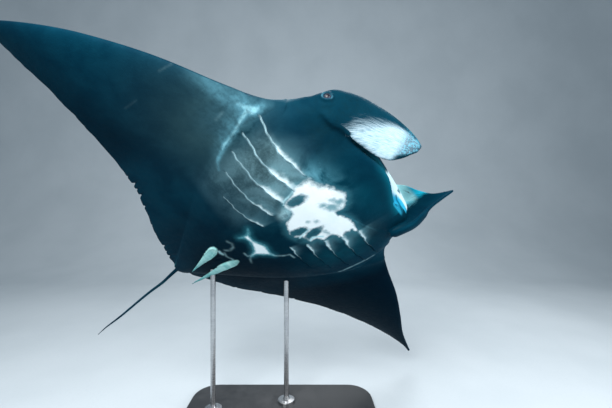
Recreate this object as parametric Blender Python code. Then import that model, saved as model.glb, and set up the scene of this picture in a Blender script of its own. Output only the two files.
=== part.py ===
"""Reef manta ray, life size, banking in a glide on a plain two-rod display stand.

Metres, +Z up.  The origin is the centre of the stand's underside.

The animal is built in its own frame first (x towards the snout, y towards its left,
z towards its back), with the disc lying flat.  Lengths in that frame are given in disc
widths, the measure that rays are described by.  Both wings are then bent, twisted and
swept along the span, the pieces are joined, and thin cuts part the body into its nodes.
An empty carries the animal's frame on the stand.
"""
import math

import bmesh
import bpy
import numpy as np
from mathutils import Matrix, Vector

# ------------------------------------------------------------------ sizes
DISC_WIDTH = 3.40            # wing tip to wing tip along the bent span, m

HEADING = -24.1              # snout from +X, degrees about +Z
NOSE_UP = 25.6               # degrees
BANK = 45.7                  # left wing down, degrees
BODY_AT = (-0.0900, 0.0200, 1.3300)   # the body frame's origin over the base, m

CUT = 0.0006                 # width of the cuts between nodes, m
GAP = 0.0005                 # clearance of eyes and rods in their seats, m

# planform of the disc: share of the half span, leading edge x, trailing edge x
PLANFORM = (
    (0.00, 0.150, -0.232), (0.06, 0.152, -0.226), (0.12, 0.160, -0.210),
    (0.20, 0.176, -0.189), (0.28, 0.188, -0.165), (0.32, 0.174, -0.153),
    (0.36, 0.152, -0.142), (0.40, 0.138, -0.131), (0.45, 0.126, -0.119), (0.60, 0.090, -0.092), (0.75, 0.034, -0.083), (0.88, -0.035, -0.088),
    (0.96, -0.088, -0.104), (1.00, -0.1215, -0.1245))
# half thickness of the wing over the half span
WING_DEPTH = ((0.00, 0.040), (0.20, 0.038), (0.30, 0.031), (0.36, 0.027), (0.45, 0.021),
              (0.60, 0.0145), (0.75, 0.0095), (0.90, 0.0055), (1.00, 0.0024))
EDGE_DEPTH = 0.0013          # half thickness of the trailing edge

# trunk and head: x, half width, mid height, up, down.  The last rings turn in at the
# lips and line the mouth.
TRUNK = (
    (-0.232, 0.010, 0.000, 0.008, 0.008), (-0.215, 0.020, 0.000, 0.014, 0.013),
    (-0.185, 0.038, 0.000, 0.022, 0.021), (-0.150, 0.060, 0.000, 0.031, 0.029),
    (-0.110, 0.085, 0.000, 0.040, 0.038), (-0.060, 0.117, 0.000, 0.050, 0.047),
    (-0.010, 0.146, 0.000, 0.058, 0.054), (0.040, 0.168, 0.000, 0.062, 0.058),
    (0.080, 0.179, 0.000, 0.063, 0.060), (0.110, 0.177, 0.000, 0.062, 0.060),
    (0.137, 0.170, 0.000, 0.060, 0.058), (0.160, 0.165, 0.000, 0.057, 0.055),
    (0.180, 0.160, 0.000, 0.054, 0.053), (0.200, 0.153, 0.000, 0.051, 0.051),
    (0.215, 0.1465, 0.000, 0.048, 0.049), (0.227, 0.1435, -0.001, 0.044, 0.046),
    (0.235, 0.139, -0.003, 0.038, 0.042), (0.2395, 0.129, -0.008, 0.030, 0.034),
    (0.241, 0.105, -0.014, 0.021, 0.025), (0.239, 0.090, -0.018, 0.0155, 0.019),
    (0.232, 0.080, -0.019, 0.013, 0.016), (0.215, 0.072, -0.019, 0.011, 0.013),
    (0.190, 0.060, -0.019, 0.008, 0.009))
TRUNK_ROUND = 2.2            # superellipse exponent of its sections
JAW_SWEEP = 0.017            # how far the lower jaw falls back towards its corners
UPPER_JAW = 0.004            # how far the straight upper jaw lies behind the lower one

# wings: lift of the span line in radians (near the root, linear, quadratic), twist with
# the leading edge down (linear, quadratic) and sweep at the tip in disc widths
ROOT = 0.22                  # share of the half span that stays rigid
TWIST_AXIS = 0.02
RIGHT_WING = (-0.64, 1.51, -0.58, 0.15, 0.14, -0.028)
LEFT_WING = (-0.18, 0.60, -1.17, 0.085, 0.585, 0.137)

# cephalic fins: root, length, breadth, headings along the blade as (share, radians) for
# yaw inwards, pitch down and roll, curl of the blade, its half thickness as (share of
# length, disc widths), and its upper and lower edges as (share of length, share of breadth)
RIGHT_FIN = dict(root=(0.2015, 0.1275, -0.002), length=0.185, breadth=0.0515,
                 yaw=((0, -0.04), (0.25, 0.87), (0.5, 1.17), (1, 1.18)),
                 pitch=((0, -0.25), (0.5, -0.07), (1, 0.47)), roll=((0, -0.24), (1, -0.33)),
                 curl=0.55, thick=((0, 0.0132), (0.25, 0.0080), (0.5, 0.0050), (0.75, 0.0033),
                                   (1, 0.0016)),
                 crest=((0, 0.46), (0.15, 0.45), (0.3, 0.48), (0.5, 0.68), (0.7, 0.81),
                        (0.85, 0.68), (0.94, 0.44), (1, 0.12)),
                 keel=((0, 0.82), (0.3, 1.14), (0.6, 1.24), (0.8, 1.10), (0.92, 0.74),
                       (1, 0.20)))
LEFT_FIN = dict(root=(0.200, 0.128, -0.010), length=0.115, breadth=0.062,
                yaw=((0, 0.06), (0.2, -0.10), (0.4, 0.10), (0.6, 0.06), (1, 0.06)),
                pitch=((0, 0.30), (0.5, -0.22), (1, -0.22)), roll=((0, 0.15), (1, -0.46)),
                curl=1.10, thick=((0, 0.0135), (0.3, 0.0074), (0.45, 0.0044), (0.56, 0.0022),
                                  (0.66, 0.0012), (1, 0.0008)),
                crest=((0, 1.30), (0.15, 1.42), (0.3, 1.34), (0.5, 1.12), (0.62, 0.70), (0.75, 0.34),
                       (0.9, 0.15), (1, 0.05)),
                keel=((0, 0.62), (0.25, 0.66), (0.45, 0.58), (0.56, 0.22), (0.64, 0.12),
                      (0.8, 0.08), (1, 0.04)))

EYE_AT = (0.2213, 0.1326, -0.0020)
EYE_RADIUS = 0.0078

# tail: way points x, y, z and half thickness
TAIL = ((-0.205, 0.000, 0.000, 0.0100), (-0.232, 0.001, -0.001, 0.0086),
        (-0.262, 0.006, -0.002, 0.0064), (-0.300, 0.0135, -0.0035, 0.0050),
        (-0.345, 0.0190, -0.0045, 0.0042), (-0.390, 0.0255, -0.0065, 0.0036),
        (-0.440, 0.0340, -0.0080, 0.0031), (-0.486, 0.0410, -0.0100, 0.0027),
        (-0.545, 0.0480, -0.0125, 0.0021), (-0.600, 0.0585, -0.0130, 0.0012))

DORSAL = dict(at=(-0.176, 0.0, 0.020), chord=0.036, height=0.034, rake=0.028, thick=0.0030)
PELVIC = {1: ((-0.0700, 0.0188, -0.0440), (-0.1470, 0.0146, 0.0155)),
          -1: ((-0.0850, -0.0263, -0.0430), (-0.1012, 0.0316, 0.0125))}     # root, reach
PELVIC_BREADTH, PELVIC_DEPTH = 0.0088, 0.0028                          # halves

BASE = dict(length=1.30, width=1.00, height=0.045, corner=0.16, edge=0.008)
ROD_RADIUS = 0.017
ROD_SEAT = 0.060             # depth of the blind hole in the animal
RODS = {"stand_rod_rear": (-0.150, 0.028), "stand_rod_front": (-0.060, 0.150)}

SKIN_DARK = (0.010, 0.018, 0.026)
SKIN_PALE = (0.62, 0.68, 0.70)
EYE_COLOUR = (0.012, 0.014, 0.016)
STAND_PAINT = (0.035, 0.036, 0.038)
STEEL = (0.46, 0.47, 0.48)


# ------------------------------------------------------------------ small tools
def curve(points):
    """Monotone cubic curve through (x, y) points."""
    xs = np.array([p[0] for p in points], float)
    ys = np.array([p[1] for p in points], float)
    h = np.diff(xs)
    d = np.diff(ys) / h
    m = np.zeros(len(xs))
    m[0], m[-1] = d[0], d[-1]
    for i in range(1, len(xs) - 1):
        if d[i - 1] * d[i] > 0:
            a, b = 2 * h[i] + h[i - 1], h[i] + 2 * h[i - 1]
            m[i] = (a + b) / (a / d[i - 1] + b / d[i])

    def value(x):
        x = np.clip(x, xs[0], xs[-1])
        i = np.clip(np.searchsorted(xs, x, side="right") - 1, 0, len(h) - 1)
        t = (x - xs[i]) / h[i]
        return ((1 + 2 * t) * (1 - t) ** 2 * ys[i] + t * (1 - t) ** 2 * h[i] * m[i]
                + t * t * (3 - 2 * t) * ys[i + 1] + t * t * (t - 1) * h[i] * m[i + 1])
    return value


def ease(t):
    t = np.clip(t, 0.0, 1.0)
    return t * t * (3 - 2 * t)


def columns(table, *picks):
    return [curve([(row[0], row[k]) for row in table]) for k in picks]


def unit(v):
    return v / np.linalg.norm(v, axis=-1, keepdims=True)


# ------------------------------------------------------------------ the bend of a wing
def lift(u, wing):
    return wing[0] * ease(u / 0.35) + wing[1] * u + wing[2] * u * u


def bend_side(points, wing, steps=80):
    """Carries flat points with y >= 0 (disc widths) along one bent wing."""
    mids = (np.arange(steps) + 0.5) / steps
    reach = (1 - ROOT) * 0.5
    angle = lift(mids, wing)
    run = np.concatenate([[0.0], np.cumsum(np.cos(angle))]) / steps * reach
    rise = np.concatenate([[0.0], np.cumsum(np.sin(angle))]) / steps * reach
    knots = np.arange(steps + 1) / steps
    u = np.clip((points[:, 1] / 0.5 - ROOT) / (1 - ROOT), 0, None)
    out = np.minimum(points[:, 1], ROOT * 0.5) + np.interp(u, knots, run)
    up = np.interp(u, knots, rise)
    tilt, twist = lift(np.minimum(u, 1), wing), wing[3] * u + wing[4] * u * u
    dx = points[:, 0] - TWIST_AXIS
    normal = -dx * np.sin(twist) + points[:, 2] * np.cos(twist)
    return np.stack([TWIST_AXIS + dx * np.cos(twist) + points[:, 2] * np.sin(twist)
                     + wing[5] * u * u,
                     out - np.sin(tilt) * normal, up + np.cos(tilt) * normal], axis=1)


def pose(points):
    """Flat animal, disc widths -> posed animal, metres, both in the animal's frame."""
    points = np.atleast_2d(np.asarray(points, float))
    mirror = np.array([1.0, -1.0, 1.0])
    left = bend_side(points, LEFT_WING)
    right = bend_side(points * mirror, RIGHT_WING) * mirror
    return np.where(points[:, 1:2] >= 0, left, right) * DISC_WIDTH


# ------------------------------------------------------------------ lofted forms
def loft(rings, strip=False):
    """Closed tube through equal rings: vertices, faces.  Each end is closed by a fan, or
    by a strip across a ring that runs along one side of a blade and back on the other."""
    n = len(rings[0])
    verts = [tuple(p) for ring in rings for p in ring]
    faces = []
    for r in range(len(rings) - 1):
        for k in range(n):
            a, b = r * n + k, r * n + (k + 1) % n
            faces.append((a, b, b + n, a + n))
    for r, flip in ((0, True), (len(rings) - 1, False)):
        if strip:
            for k in range(n // 2 - 1):
                quad = (r * n + k, r * n + k + 1, r * n + n - 2 - k, r * n + n - 1 - k)
                faces.append(quad[::-1] if flip else quad)
            continue
        verts.append(tuple(np.mean(rings[r], axis=0)))
        for k in range(n):
            tri = (r * n + k, r * n + (k + 1) % n, len(verts) - 1)
            faces.append(tri[::-1] if flip else tri)
    return verts, faces


def disc_rings(spans=25, chords=11):
    lead, trail = columns(PLANFORM, 1, 2)
    depth = curve(WING_DEPTH)
    half = np.linspace(0.0, 1.0, spans)
    half = 1 - (1 - half) ** 1.12
    stations = np.concatenate([-half[:0:-1], half])
    c = 0.5 - 0.5 * np.cos(np.linspace(0, math.pi, chords))
    rings = []
    for v in stations:
        a = abs(v)
        x0, x1 = lead(a), trail(a)
        edge = EDGE_DEPTH * (1 - 0.35 * a)
        t = depth(a) * 2.6 * np.sqrt(c) * (1 - c) + edge * ease(c * 1.6)
        x = x0 + (x1 - x0) * c
        y = np.full(chords, v * 0.5)
        top = np.stack([x, y, t], axis=1)
        low = np.stack([x, y, -t], axis=1)
        rings.append(np.vstack([top, low[:0:-1]]))
    return rings


def trunk_rings(around=28):
    half, mid, up, down = columns(TRUNK_PATH, 1, 2, 3, 4)
    xs = curve([(row[0], row[5]) for row in TRUNK_PATH])
    phi = np.linspace(0, 2 * math.pi, around, endpoint=False)
    power = 2 / TRUNK_ROUND
    cy = np.sign(np.cos(phi)) * np.abs(np.cos(phi)) ** power
    sz = np.sign(np.sin(phi)) * np.abs(np.sin(phi)) ** power
    rings = []
    for s in [row[0] for row in TRUNK_PATH]:
        y = half(s) * cy
        z = mid(s) + np.where(sz > 0, up(s), down(s)) * sz
        low = ease(0.5 - 0.5 * sz)
        x = xs(s) - ease((xs(s) - 0.12) / 0.08) * (
            low * JAW_SWEEP * ease(np.abs(y) / 0.076) + (1 - low) * UPPER_JAW)
        rings.append(np.stack([x, y, z], axis=1))
    return rings


def trunk_path():
    """The trunk's rings by the way along its outline, so that they can turn back in."""
    path, way = [], 0.0
    for i, row in enumerate(TRUNK):
        if i:
            a = TRUNK[i - 1]
            way += math.dist((a[0], a[1] * 0.5), (row[0], row[1] * 0.5))
        path.append((way,) + tuple(row[1:]) + (row[0],))
    return path


TRUNK_PATH = trunk_path()


def fin_frame(fin, n):
    """Centre line, blade direction and normal of a cephalic fin, for the left side."""
    s = np.linspace(0, 1, n + 1)

    def heading(t):
        pitch, yaw = curve(fin["pitch"])(t), curve(fin["yaw"])(t)
        return np.stack([np.cos(pitch) * np.cos(yaw), -np.cos(pitch) * np.sin(yaw),
                         -np.sin(pitch)], axis=1)
    mids = (s[1:] + s[:-1]) / 2
    line = np.vstack([[0, 0, 0], np.cumsum(heading(mids), axis=0) * fin["length"] / n])
    line = line + np.array(fin["root"])
    ahead = heading(s)
    down = np.array([0.0, 0.0, -1.0])
    blade = unit(down - (ahead @ down)[:, None] * ahead)
    side = np.cross(ahead, blade)
    roll = curve(fin["roll"])(s)[:, None]
    blade = blade * np.cos(roll) + side * np.sin(roll)
    return s, line, ahead, blade, np.cross(ahead, blade)


def fin_rings(fin, n=13, around=9):
    s, line, ahead, blade, normal = fin_frame(fin, n)
    crest, keel, half_thick = (curve(fin[k]) for k in ("crest", "keel", "thick"))
    w = -np.cos(np.linspace(0, math.pi, around))
    rings = []
    for i in range(n + 1):
        breadth = fin["breadth"] * np.where(w < 0, crest(s[i]), keel(s[i]))
        thick = np.minimum(half_thick(s[i]), breadth * 0.55)
        curl = fin["curl"]
        arc = w * curl
        across = breadth * np.sin(arc) / curl
        inward = -breadth * (1 - np.cos(arc)) / curl
        t = thick * np.sqrt(1 - w * w) * (1 - 0.25 * w) + 0.0009
        mid = line[i] + np.outer(across, blade[i]) + np.outer(inward, normal[i])
        out = np.outer(t * np.sin(arc), blade[i]) + np.outer(t * np.cos(arc), normal[i])
        rings.append(np.vstack([mid + out, (mid - out)[::-1]]))
    return rings


def tail_rings(around=10):
    pts = np.array(TAIL)
    s = np.concatenate([[0], np.cumsum(np.linalg.norm(np.diff(pts[:, :3], axis=0), axis=1))])
    f = [curve(list(zip(s, pts[:, k]))) for k in range(4)]
    phi = np.linspace(0, 2 * math.pi, around, endpoint=False)
    rings = []
    for t in np.linspace(0, s[-1], 22)[::-1]:
        c = np.array([f[0](t), f[1](t), f[2](t)])
        r = f[3](t)
        rings.append(np.stack([np.full(around, c[0]), c[1] + r * np.cos(phi),
                               c[2] + r * 0.92 * np.sin(phi)], axis=1))
    return rings


def plate_rings(root, along, across, normal, length, outline, thick, n=9, around=6):
    """A thin lobe: a loft of flat ellipses from its root to its tip."""
    s = np.linspace(0, 1, n + 1)
    shape = curve(outline)
    phi = np.linspace(0, 2 * math.pi, 2 * around, endpoint=False)
    rings = []
    for t in s:
        half, shift = shape(t), 0.0
        depth = max(thick * (1 - 0.5 * t), 0.0010)
        c = np.array(root) + np.array(along) * length * t + np.array(across) * shift
        rings.append(c + np.outer(np.cos(phi) * half, across)
                     + np.outer(np.sin(phi) * min(depth, half * 0.8), normal))
    return rings


def dorsal_rings():
    d = DORSAL
    rings = []
    phi = np.linspace(0, 2 * math.pi, 12, endpoint=False)
    for t in np.linspace(-0.25, 1, 8):
        k = max(t, 0.0)
        half = d["chord"] * 0.5 * math.sqrt(max(1 - k ** 2.2, 0.02))
        x = d["at"][0] - d["rake"] * t + (0.25 * half * k)
        rings.append(np.stack([x + half * np.cos(phi),
                               d["thick"] * (1 - 0.55 * k) * np.sin(phi),
                               np.full(12, d["at"][2] + d["height"] * t)], axis=1))
    return rings


def pelvic_rings(side):
    root, reach = (np.array(v) for v in PELVIC[side])
    b = PELVIC_BREADTH
    return plate_rings(root, unit(reach), np.array([0.0, 1.0, 0.0]), np.array([0.0, 0.0, 1.0]),
                       np.linalg.norm(reach),
                       ((0, 0.5 * b), (0.12, b), (0.35, 0.92 * b), (0.65, 0.52 * b), (1, 0.10 * b)),
                       PELVIC_DEPTH)


# ------------------------------------------------------------------ Blender side
for old in list(bpy.data.objects):
    bpy.data.objects.remove(old)


def material(name, colour, roughness, metallic=0.0):
    m = bpy.data.materials.new(name)
    m.use_nodes = True
    p = m.node_tree.nodes["Principled BSDF"]
    p.inputs["Base Color"].default_value = (*colour, 1.0)
    p.inputs["Roughness"].default_value = roughness
    p.inputs["Metallic"].default_value = metallic
    return m


def mesh_object(name, verts, faces, mat=None, parent=None):
    me = bpy.data.meshes.new(name)
    me.from_pydata([tuple(float(c) for c in v) for v in verts], [], faces)
    me.update()
    bm = bmesh.new()
    bm.from_mesh(me)
    bmesh.ops.recalc_face_normals(bm, faces=bm.faces)
    bm.to_mesh(me)
    bm.free()
    ob = bpy.data.objects.new(name, me)
    bpy.context.scene.collection.objects.link(ob)
    if mat:
        me.materials.append(mat)
    if parent:
        ob.parent = parent
    return ob


def boolean(ob, other, operation):
    mod = ob.modifiers.new(operation.title(), "BOOLEAN")
    mod.operation = operation
    mod.solver = "EXACT"
    mod.object = other


def settle(ob):
    """Replaces an object's mesh by what its modifiers give, and clears them."""
    bpy.context.view_layer.update()
    deps = bpy.context.evaluated_depsgraph_get()
    me = bpy.data.meshes.new_from_object(ob.evaluated_get(deps))
    ob.modifiers.clear()
    bm = bmesh.new()
    bm.from_mesh(me)
    bmesh.ops.remove_doubles(bm, verts=bm.verts, dist=0.00004)
    bmesh.ops.dissolve_degenerate(bm, edges=bm.edges, dist=0.00004)
    bm.to_mesh(me)
    bm.free()
    ob.data = me


def discard(*obs):
    for ob in obs:
        bpy.data.objects.remove(ob)


skin_dark = material("skin_dark", SKIN_DARK, 0.45)
skin_pale = material("skin_pale", SKIN_PALE, 0.50)
eye_glass = material("eye_glass", EYE_COLOUR, 0.08)
stand_paint = material("stand_paint", STAND_PAINT, 0.55)
steel = material("brushed_steel", STEEL, 0.32, 1.0)

frame = bpy.data.objects.new("animal_frame", None)
bpy.context.scene.collection.objects.link(frame)
TURN = (Matrix.Rotation(math.radians(HEADING), 3, "Z") @ Matrix.Rotation(math.radians(-NOSE_UP), 3, "Y")
        @ Matrix.Rotation(math.radians(-BANK), 3, "X"))
frame.rotation_euler = TURN.to_euler()
frame.location = BODY_AT
bpy.context.view_layer.update()


def to_world(p):
    return TURN @ Vector(p) + Vector(BODY_AT)


# ------------------------------------------------------------------ the whole animal
body = mesh_object("body", *loft([pose(r) for r in disc_rings()]), mat=skin_dark, parent=frame)
extras = [mesh_object("trunk_form", *loft([pose(r) for r in trunk_rings()]), parent=frame)]
mirror = np.array([1.0, -1.0, 1.0])
extras.append(mesh_object("fin_left_form", *loft([pose(r) for r in fin_rings(LEFT_FIN)], strip=True), parent=frame))
extras.append(mesh_object("fin_right_form", *loft([pose(r * mirror) for r in fin_rings(RIGHT_FIN)],
                                                      strip=True),
                          parent=frame))
extras.append(mesh_object("tail_form", *loft([pose(r) for r in tail_rings()]), parent=frame))
extras.append(mesh_object("dorsal_form", *loft([pose(r) for r in dorsal_rings()]), parent=frame))
for side in (1, -1):
    extras.append(mesh_object("pelvic_form", *loft([pose(r) for r in pelvic_rings(side)]), parent=frame))
for form in extras:
    boolean(body, form, "UNION")
settle(body)
discard(*extras)


# ------------------------------------------------------------------ eyes and rods in their seats
def ball(name, centre, radius, mat=None, parent=None, segments=16, rings=9):
    bm = bmesh.new()
    bmesh.ops.create_uvsphere(bm, u_segments=segments, v_segments=rings, radius=radius)
    me = bpy.data.meshes.new(name)
    bm.to_mesh(me)
    bm.free()
    me.shade_smooth()
    ob = bpy.data.objects.new(name, me)
    bpy.context.scene.collection.objects.link(ob)
    ob.location = centre
    if mat:
        me.materials.append(mat)
    if parent:
        ob.parent = parent
    return ob


def turned(name, profile, at, mat=None, segments=20):
    """A profile of (radius, z) turned about the vertical through a point."""
    rings = []
    phi = np.linspace(0, 2 * math.pi, segments, endpoint=False)
    for r, z in profile:
        rings.append(np.stack([r * np.cos(phi), r * np.sin(phi), np.full(segments, z)], axis=1))
    ob = mesh_object(name, *loft(rings), mat=mat)
    ob.location = (at[0], at[1], 0.0)
    return ob


seats = []
eyes = {}
for side, word in ((1, "left"), (-1, "right")):
    centre = pose(np.array(EYE_AT) * (1, side, 1))[0]
    eyes[word] = ball("eye_" + word, centre, EYE_RADIUS * DISC_WIDTH, eye_glass, frame)
    seats.append(ball("eye_seat", centre, EYE_RADIUS * DISC_WIDTH + GAP, parent=frame))

top_of_base = BASE["height"]
for name, (x, y) in RODS.items():
    bpy.context.view_layer.update()
    aim = to_world(pose((x, y, -0.03))[0])
    to_body = frame.matrix_world.inverted()
    start, ahead = to_body @ Vector((aim.x, aim.y, 0)), to_body.to_3x3() @ Vector((0, 0, 1))
    hit, where, _, _ = body.ray_cast(start, ahead)
    if not hit:
        raise RuntimeError("rod misses the animal: " + name)
    entry = (frame.matrix_world @ where).z
    r, low = ROD_RADIUS, top_of_base + 0.0004
    turned(name, ((0.060, low), (0.060, low + 0.012), (0.056, low + 0.015),
                  (r + 0.007, low + 0.019), (r, low + 0.036),
                  (r, entry + ROD_SEAT - 0.003), (r - 0.003, entry + ROD_SEAT)), aim, steel)
    seats.append(turned("rod_seat", ((r + GAP, entry - 0.12), (r + GAP, entry + ROD_SEAT + GAP)),
                        aim))
for seat in seats:
    seat.hide_render = True
    seat.display_type = "WIRE"
    boolean(body, seat, "DIFFERENCE")
settle(body)
discard(*seats)


# ------------------------------------------------------------------ thin cuts into nodes
def slab(place, normal, half, along=(0.0, 0.0, 1.0)):
    """A flat box, CUT thick, across the direction `normal`, in the animal's frame."""
    n = Vector(normal).normalized()
    u = (Vector(along) - n * Vector(along).dot(n)).normalized()
    v = n.cross(u)
    verts = []
    for k in (-1, 1):
        for a, b in ((-1, -1), (1, -1), (1, 1), (-1, 1)):
            verts.append(Vector(place) + n * (k * CUT / 2) + u * (a * half[0]) + v * (b * half[1]))
    faces = ((0, 3, 2, 1), (4, 5, 6, 7), (0, 1, 5, 4), (1, 2, 6, 5), (2, 3, 7, 6), (3, 0, 4, 7))
    ob = mesh_object("cut", verts, faces, parent=frame)
    ob.hide_render = True
    ob.display_type = "WIRE"
    return ob


def islands(ob):
    """Splits an object into its loose parts: a list of new objects."""
    bm = bmesh.new()
    bm.from_mesh(ob.data)
    bm.verts.ensure_lookup_table()
    todo, groups = set(v.index for v in bm.verts), []
    while todo:
        stack, group = [todo.pop()], []
        while stack:
            i = stack.pop()
            group.append(i)
            for e in bm.verts[i].link_edges:
                j = e.other_vert(bm.verts[i]).index
                if j in todo:
                    todo.discard(j)
                    stack.append(j)
        groups.append(set(group))
    pieces = []
    for group in groups:
        part = bm.copy()
        part.verts.ensure_lookup_table()
        bmesh.ops.delete(part, geom=[v for v in part.verts if v.index not in group], context="VERTS")
        me = bpy.data.meshes.new("piece")
        part.to_mesh(me)
        part.free()
        for m in ob.data.materials:
            me.materials.append(m)
        new = bpy.data.objects.new("piece", me)
        bpy.context.scene.collection.objects.link(new)
        new.parent = frame
        pieces.append(new)
    bm.free()
    return pieces


def cut(ob, name, place, normal, half, tip, along=(0.0, 0.0, 1.0)):
    """Parts an object by a thin slab.  The side with the point `tip` becomes `name`."""
    knife = slab(place, normal, half, along)
    boolean(ob, knife, "DIFFERENCE")
    settle(ob)
    discard(knife)
    pieces = islands(ob)
    tip = Vector(tip)
    pieces.sort(key=lambda p: min((v.co - tip).length for v in p.data.vertices))
    if len(pieces) != 2:
        sizes = [(len(p.data.vertices), tuple(round(c, 3) for c in p.data.vertices[0].co)) for p in pieces]
        raise RuntimeError("%s: the cut gives %d pieces %s" % (name, len(pieces), sizes))
    discard(ob)
    pieces[0].name = pieces[0].data.name = name
    return pieces[1]


W = DISC_WIDTH


def across_wing(side, v):
    """Place and normal of the section of a wing at a share of its half span."""
    y = side * v * 0.5
    a, b, c = pose([(0.0, y - side * 0.002, 0.0), (0.0, y, 0.0), (0.0, y + side * 0.002, 0.0)])
    normal = c - a
    return b, (0.0, normal[1], normal[2])


for side, word in ((-1, "right"), (1, "left")):
    tip = pose((-0.123, side * 0.5, 0.0))[0]
    for v, name in ((0.64, "wing_%s_outer" % word), (0.305, "wing_%s_inner" % word)):
        place, normal = across_wing(side, v)
        tip_at = tip if v > 0.5 else pose((-0.02, side * 0.30, 0.0))[0]
        body = cut(body, name, place, normal, (0.30 * W if v < 0.5 else 0.12 * W, 0.5 * W), tip_at)

for fin, side, share, name in ((RIGHT_FIN, -1, 0.38, "cephalic_fin_right"),
                               (LEFT_FIN, 1, 0.42, "cephalic_fin_left")):
    s, line, ahead, blade, normal = fin_frame(fin, 100)
    k = int(100 * share)
    flip = np.array([1, side, 1])
    body = cut(body, name, pose(line[k] * flip)[0], ahead[k] * flip,
               (fin["breadth"] * 1.5 * W, 0.052 * W), pose(line[-1] * flip)[0], blade[k] * flip)

for side, word in ((-1, "right"), (1, "left")):
    root, reach = (np.array(v) for v in PELVIC[side])
    body = cut(body, "pelvic_fin_" + word, pose(root + reach * 0.52)[0], reach,
               (0.012 * W, 0.005 * W), pose(root + reach)[0], (0.0, 1.0, 0.0))

d = DORSAL
body = cut(body, "dorsal_fin", pose((d["at"][0] - 0.004, 0.0, d["at"][2] + 0.0085))[0],
           (-0.26, 0.0, 1.0), (0.032 * W, 0.012 * W), pose((d["at"][0] - d["rake"], 0, 0.05))[0],
           (1.0, 0.0, 0.0))

ends = np.array([row[:3] for row in TAIL])
for k, name in ((7, "tail_tip"), (4, "tail_middle"), (2, "tail_base")):
    a, b = pose(ends[k - 1] * 0.5 + ends[k] * 0.5)[0], pose(ends[k])[0]
    aim = pose(ends[-1] if k == 7 else ends[k + 1])[0]
    body = cut(body, name, a, b - a, (0.018 * W, 0.018 * W), aim)

body = cut(body, "head", pose((0.150, 0.0, 0.0))[0], (1.0, 0.0, 0.0), (0.12 * W, 0.25 * W),
           pose((0.21, 0.0, 0.03))[0])
body.name = body.data.name = "trunk"

# ------------------------------------------------------------------ stand
b = BASE
bm = bmesh.new()
corner = []
for cx, cy, start in ((1, 1, 0), (-1, 1, 90), (-1, -1, 180), (1, -1, 270)):
    for k in range(9):
        a = math.radians(start + 90 * k / 8)
        corner.append(bm.verts.new((cx * (b["length"] / 2 - b["corner"]) + b["corner"] * math.cos(a),
                                    cy * (b["width"] / 2 - b["corner"]) + b["corner"] * math.sin(a), 0.0)))
floor = bm.faces.new(corner)
lifted = bmesh.ops.extrude_face_region(bm, geom=[floor])["geom"]
bmesh.ops.translate(bm, vec=(0, 0, b["height"]), verts=[g for g in lifted if isinstance(g, bmesh.types.BMVert)])
bmesh.ops.recalc_face_normals(bm, faces=bm.faces)
rim = [e for e in bm.edges if all(v.co.z > b["height"] - 1e-6 for v in e.verts)]
bmesh.ops.bevel(bm, geom=rim, offset=b["edge"], segments=3, profile=0.5, affect="EDGES")
me = bpy.data.meshes.new("stand_base")
bm.to_mesh(me)
bm.free()
me.materials.append(stand_paint)
base = bpy.data.objects.new("stand_base", me)
bpy.context.scene.collection.objects.link(base)
base["foot"] = "flat underside at z = 0"
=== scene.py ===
"""Dresses the reef manta display model.

One skin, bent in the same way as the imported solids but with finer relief, stands for the
animal's flesh.  The eyes are separate pieces, and the stand's own solids get a real finish.
The skin is first made with the disc lying flat: x towards the snout, y towards the animal's
left, z towards its back, in disc widths.  It is then posed and turned on to the stand.
"""
import math
from types import SimpleNamespace

import bmesh
import bpy
import numpy as np
from mathutils import Matrix, Vector


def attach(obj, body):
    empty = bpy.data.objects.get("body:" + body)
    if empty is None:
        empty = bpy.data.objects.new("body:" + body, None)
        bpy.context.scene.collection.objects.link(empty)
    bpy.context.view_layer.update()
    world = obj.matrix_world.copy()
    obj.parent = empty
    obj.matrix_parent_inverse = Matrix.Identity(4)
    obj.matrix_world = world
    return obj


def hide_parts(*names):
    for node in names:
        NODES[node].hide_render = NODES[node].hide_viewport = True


bl_info = {
    "name": "Reef manta display model",
    "version": (1, 0, 0),
    "blender": (4, 5, 0),
    "location": "3D View > Sidebar > Manta",
    "description": "Skin, eyes, stand finish and plain studio of a life-size reef manta",
    "category": "Object",
}

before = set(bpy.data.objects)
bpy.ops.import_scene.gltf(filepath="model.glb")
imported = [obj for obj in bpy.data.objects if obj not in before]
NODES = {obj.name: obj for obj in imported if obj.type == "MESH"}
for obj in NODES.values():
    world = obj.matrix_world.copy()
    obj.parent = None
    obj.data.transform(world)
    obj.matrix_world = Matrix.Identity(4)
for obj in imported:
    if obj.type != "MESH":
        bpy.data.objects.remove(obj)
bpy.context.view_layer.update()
FLESH = [name for name in NODES if not name.startswith(("stand_", "eye_"))]

# ------------------------------------------------------------------ sizes of the animal
# The forms have the solids' sizes, but for the tail, which is slimmer here towards its root.
# Lengths are in disc widths and angles in radians, unless a comment says otherwise.
DISC_WIDTH = 3.40                               # metres
HEADING, NOSE_UP, BANK = -24.1, 25.6, 45.7      # degrees
BODY_AT = (-0.0900, 0.0200, 1.3300)             # metres
# the disc: share of the half span, leading edge x, trailing edge x
PLANFORM = (
    (0.00, 0.150, -0.232), (0.06, 0.152, -0.226), (0.12, 0.160, -0.210),
    (0.20, 0.176, -0.189), (0.28, 0.188, -0.165), (0.32, 0.174, -0.153),
    (0.36, 0.152, -0.142), (0.40, 0.138, -0.131), (0.45, 0.126, -0.119),
    (0.60, 0.090, -0.092), (0.75, 0.034, -0.083), (0.88, -0.035, -0.088),
    (0.96, -0.088, -0.104), (1.00, -0.1215, -0.1245))
# the wings' half thickness along the half span, and at their edges
WING_DEPTH = ((0.00, 0.040), (0.20, 0.038), (0.30, 0.031), (0.36, 0.027), (0.45, 0.021),
              (0.60, 0.0145), (0.75, 0.0095), (0.90, 0.0055), (1.00, 0.0024))
EDGE_DEPTH = 0.0013
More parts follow.
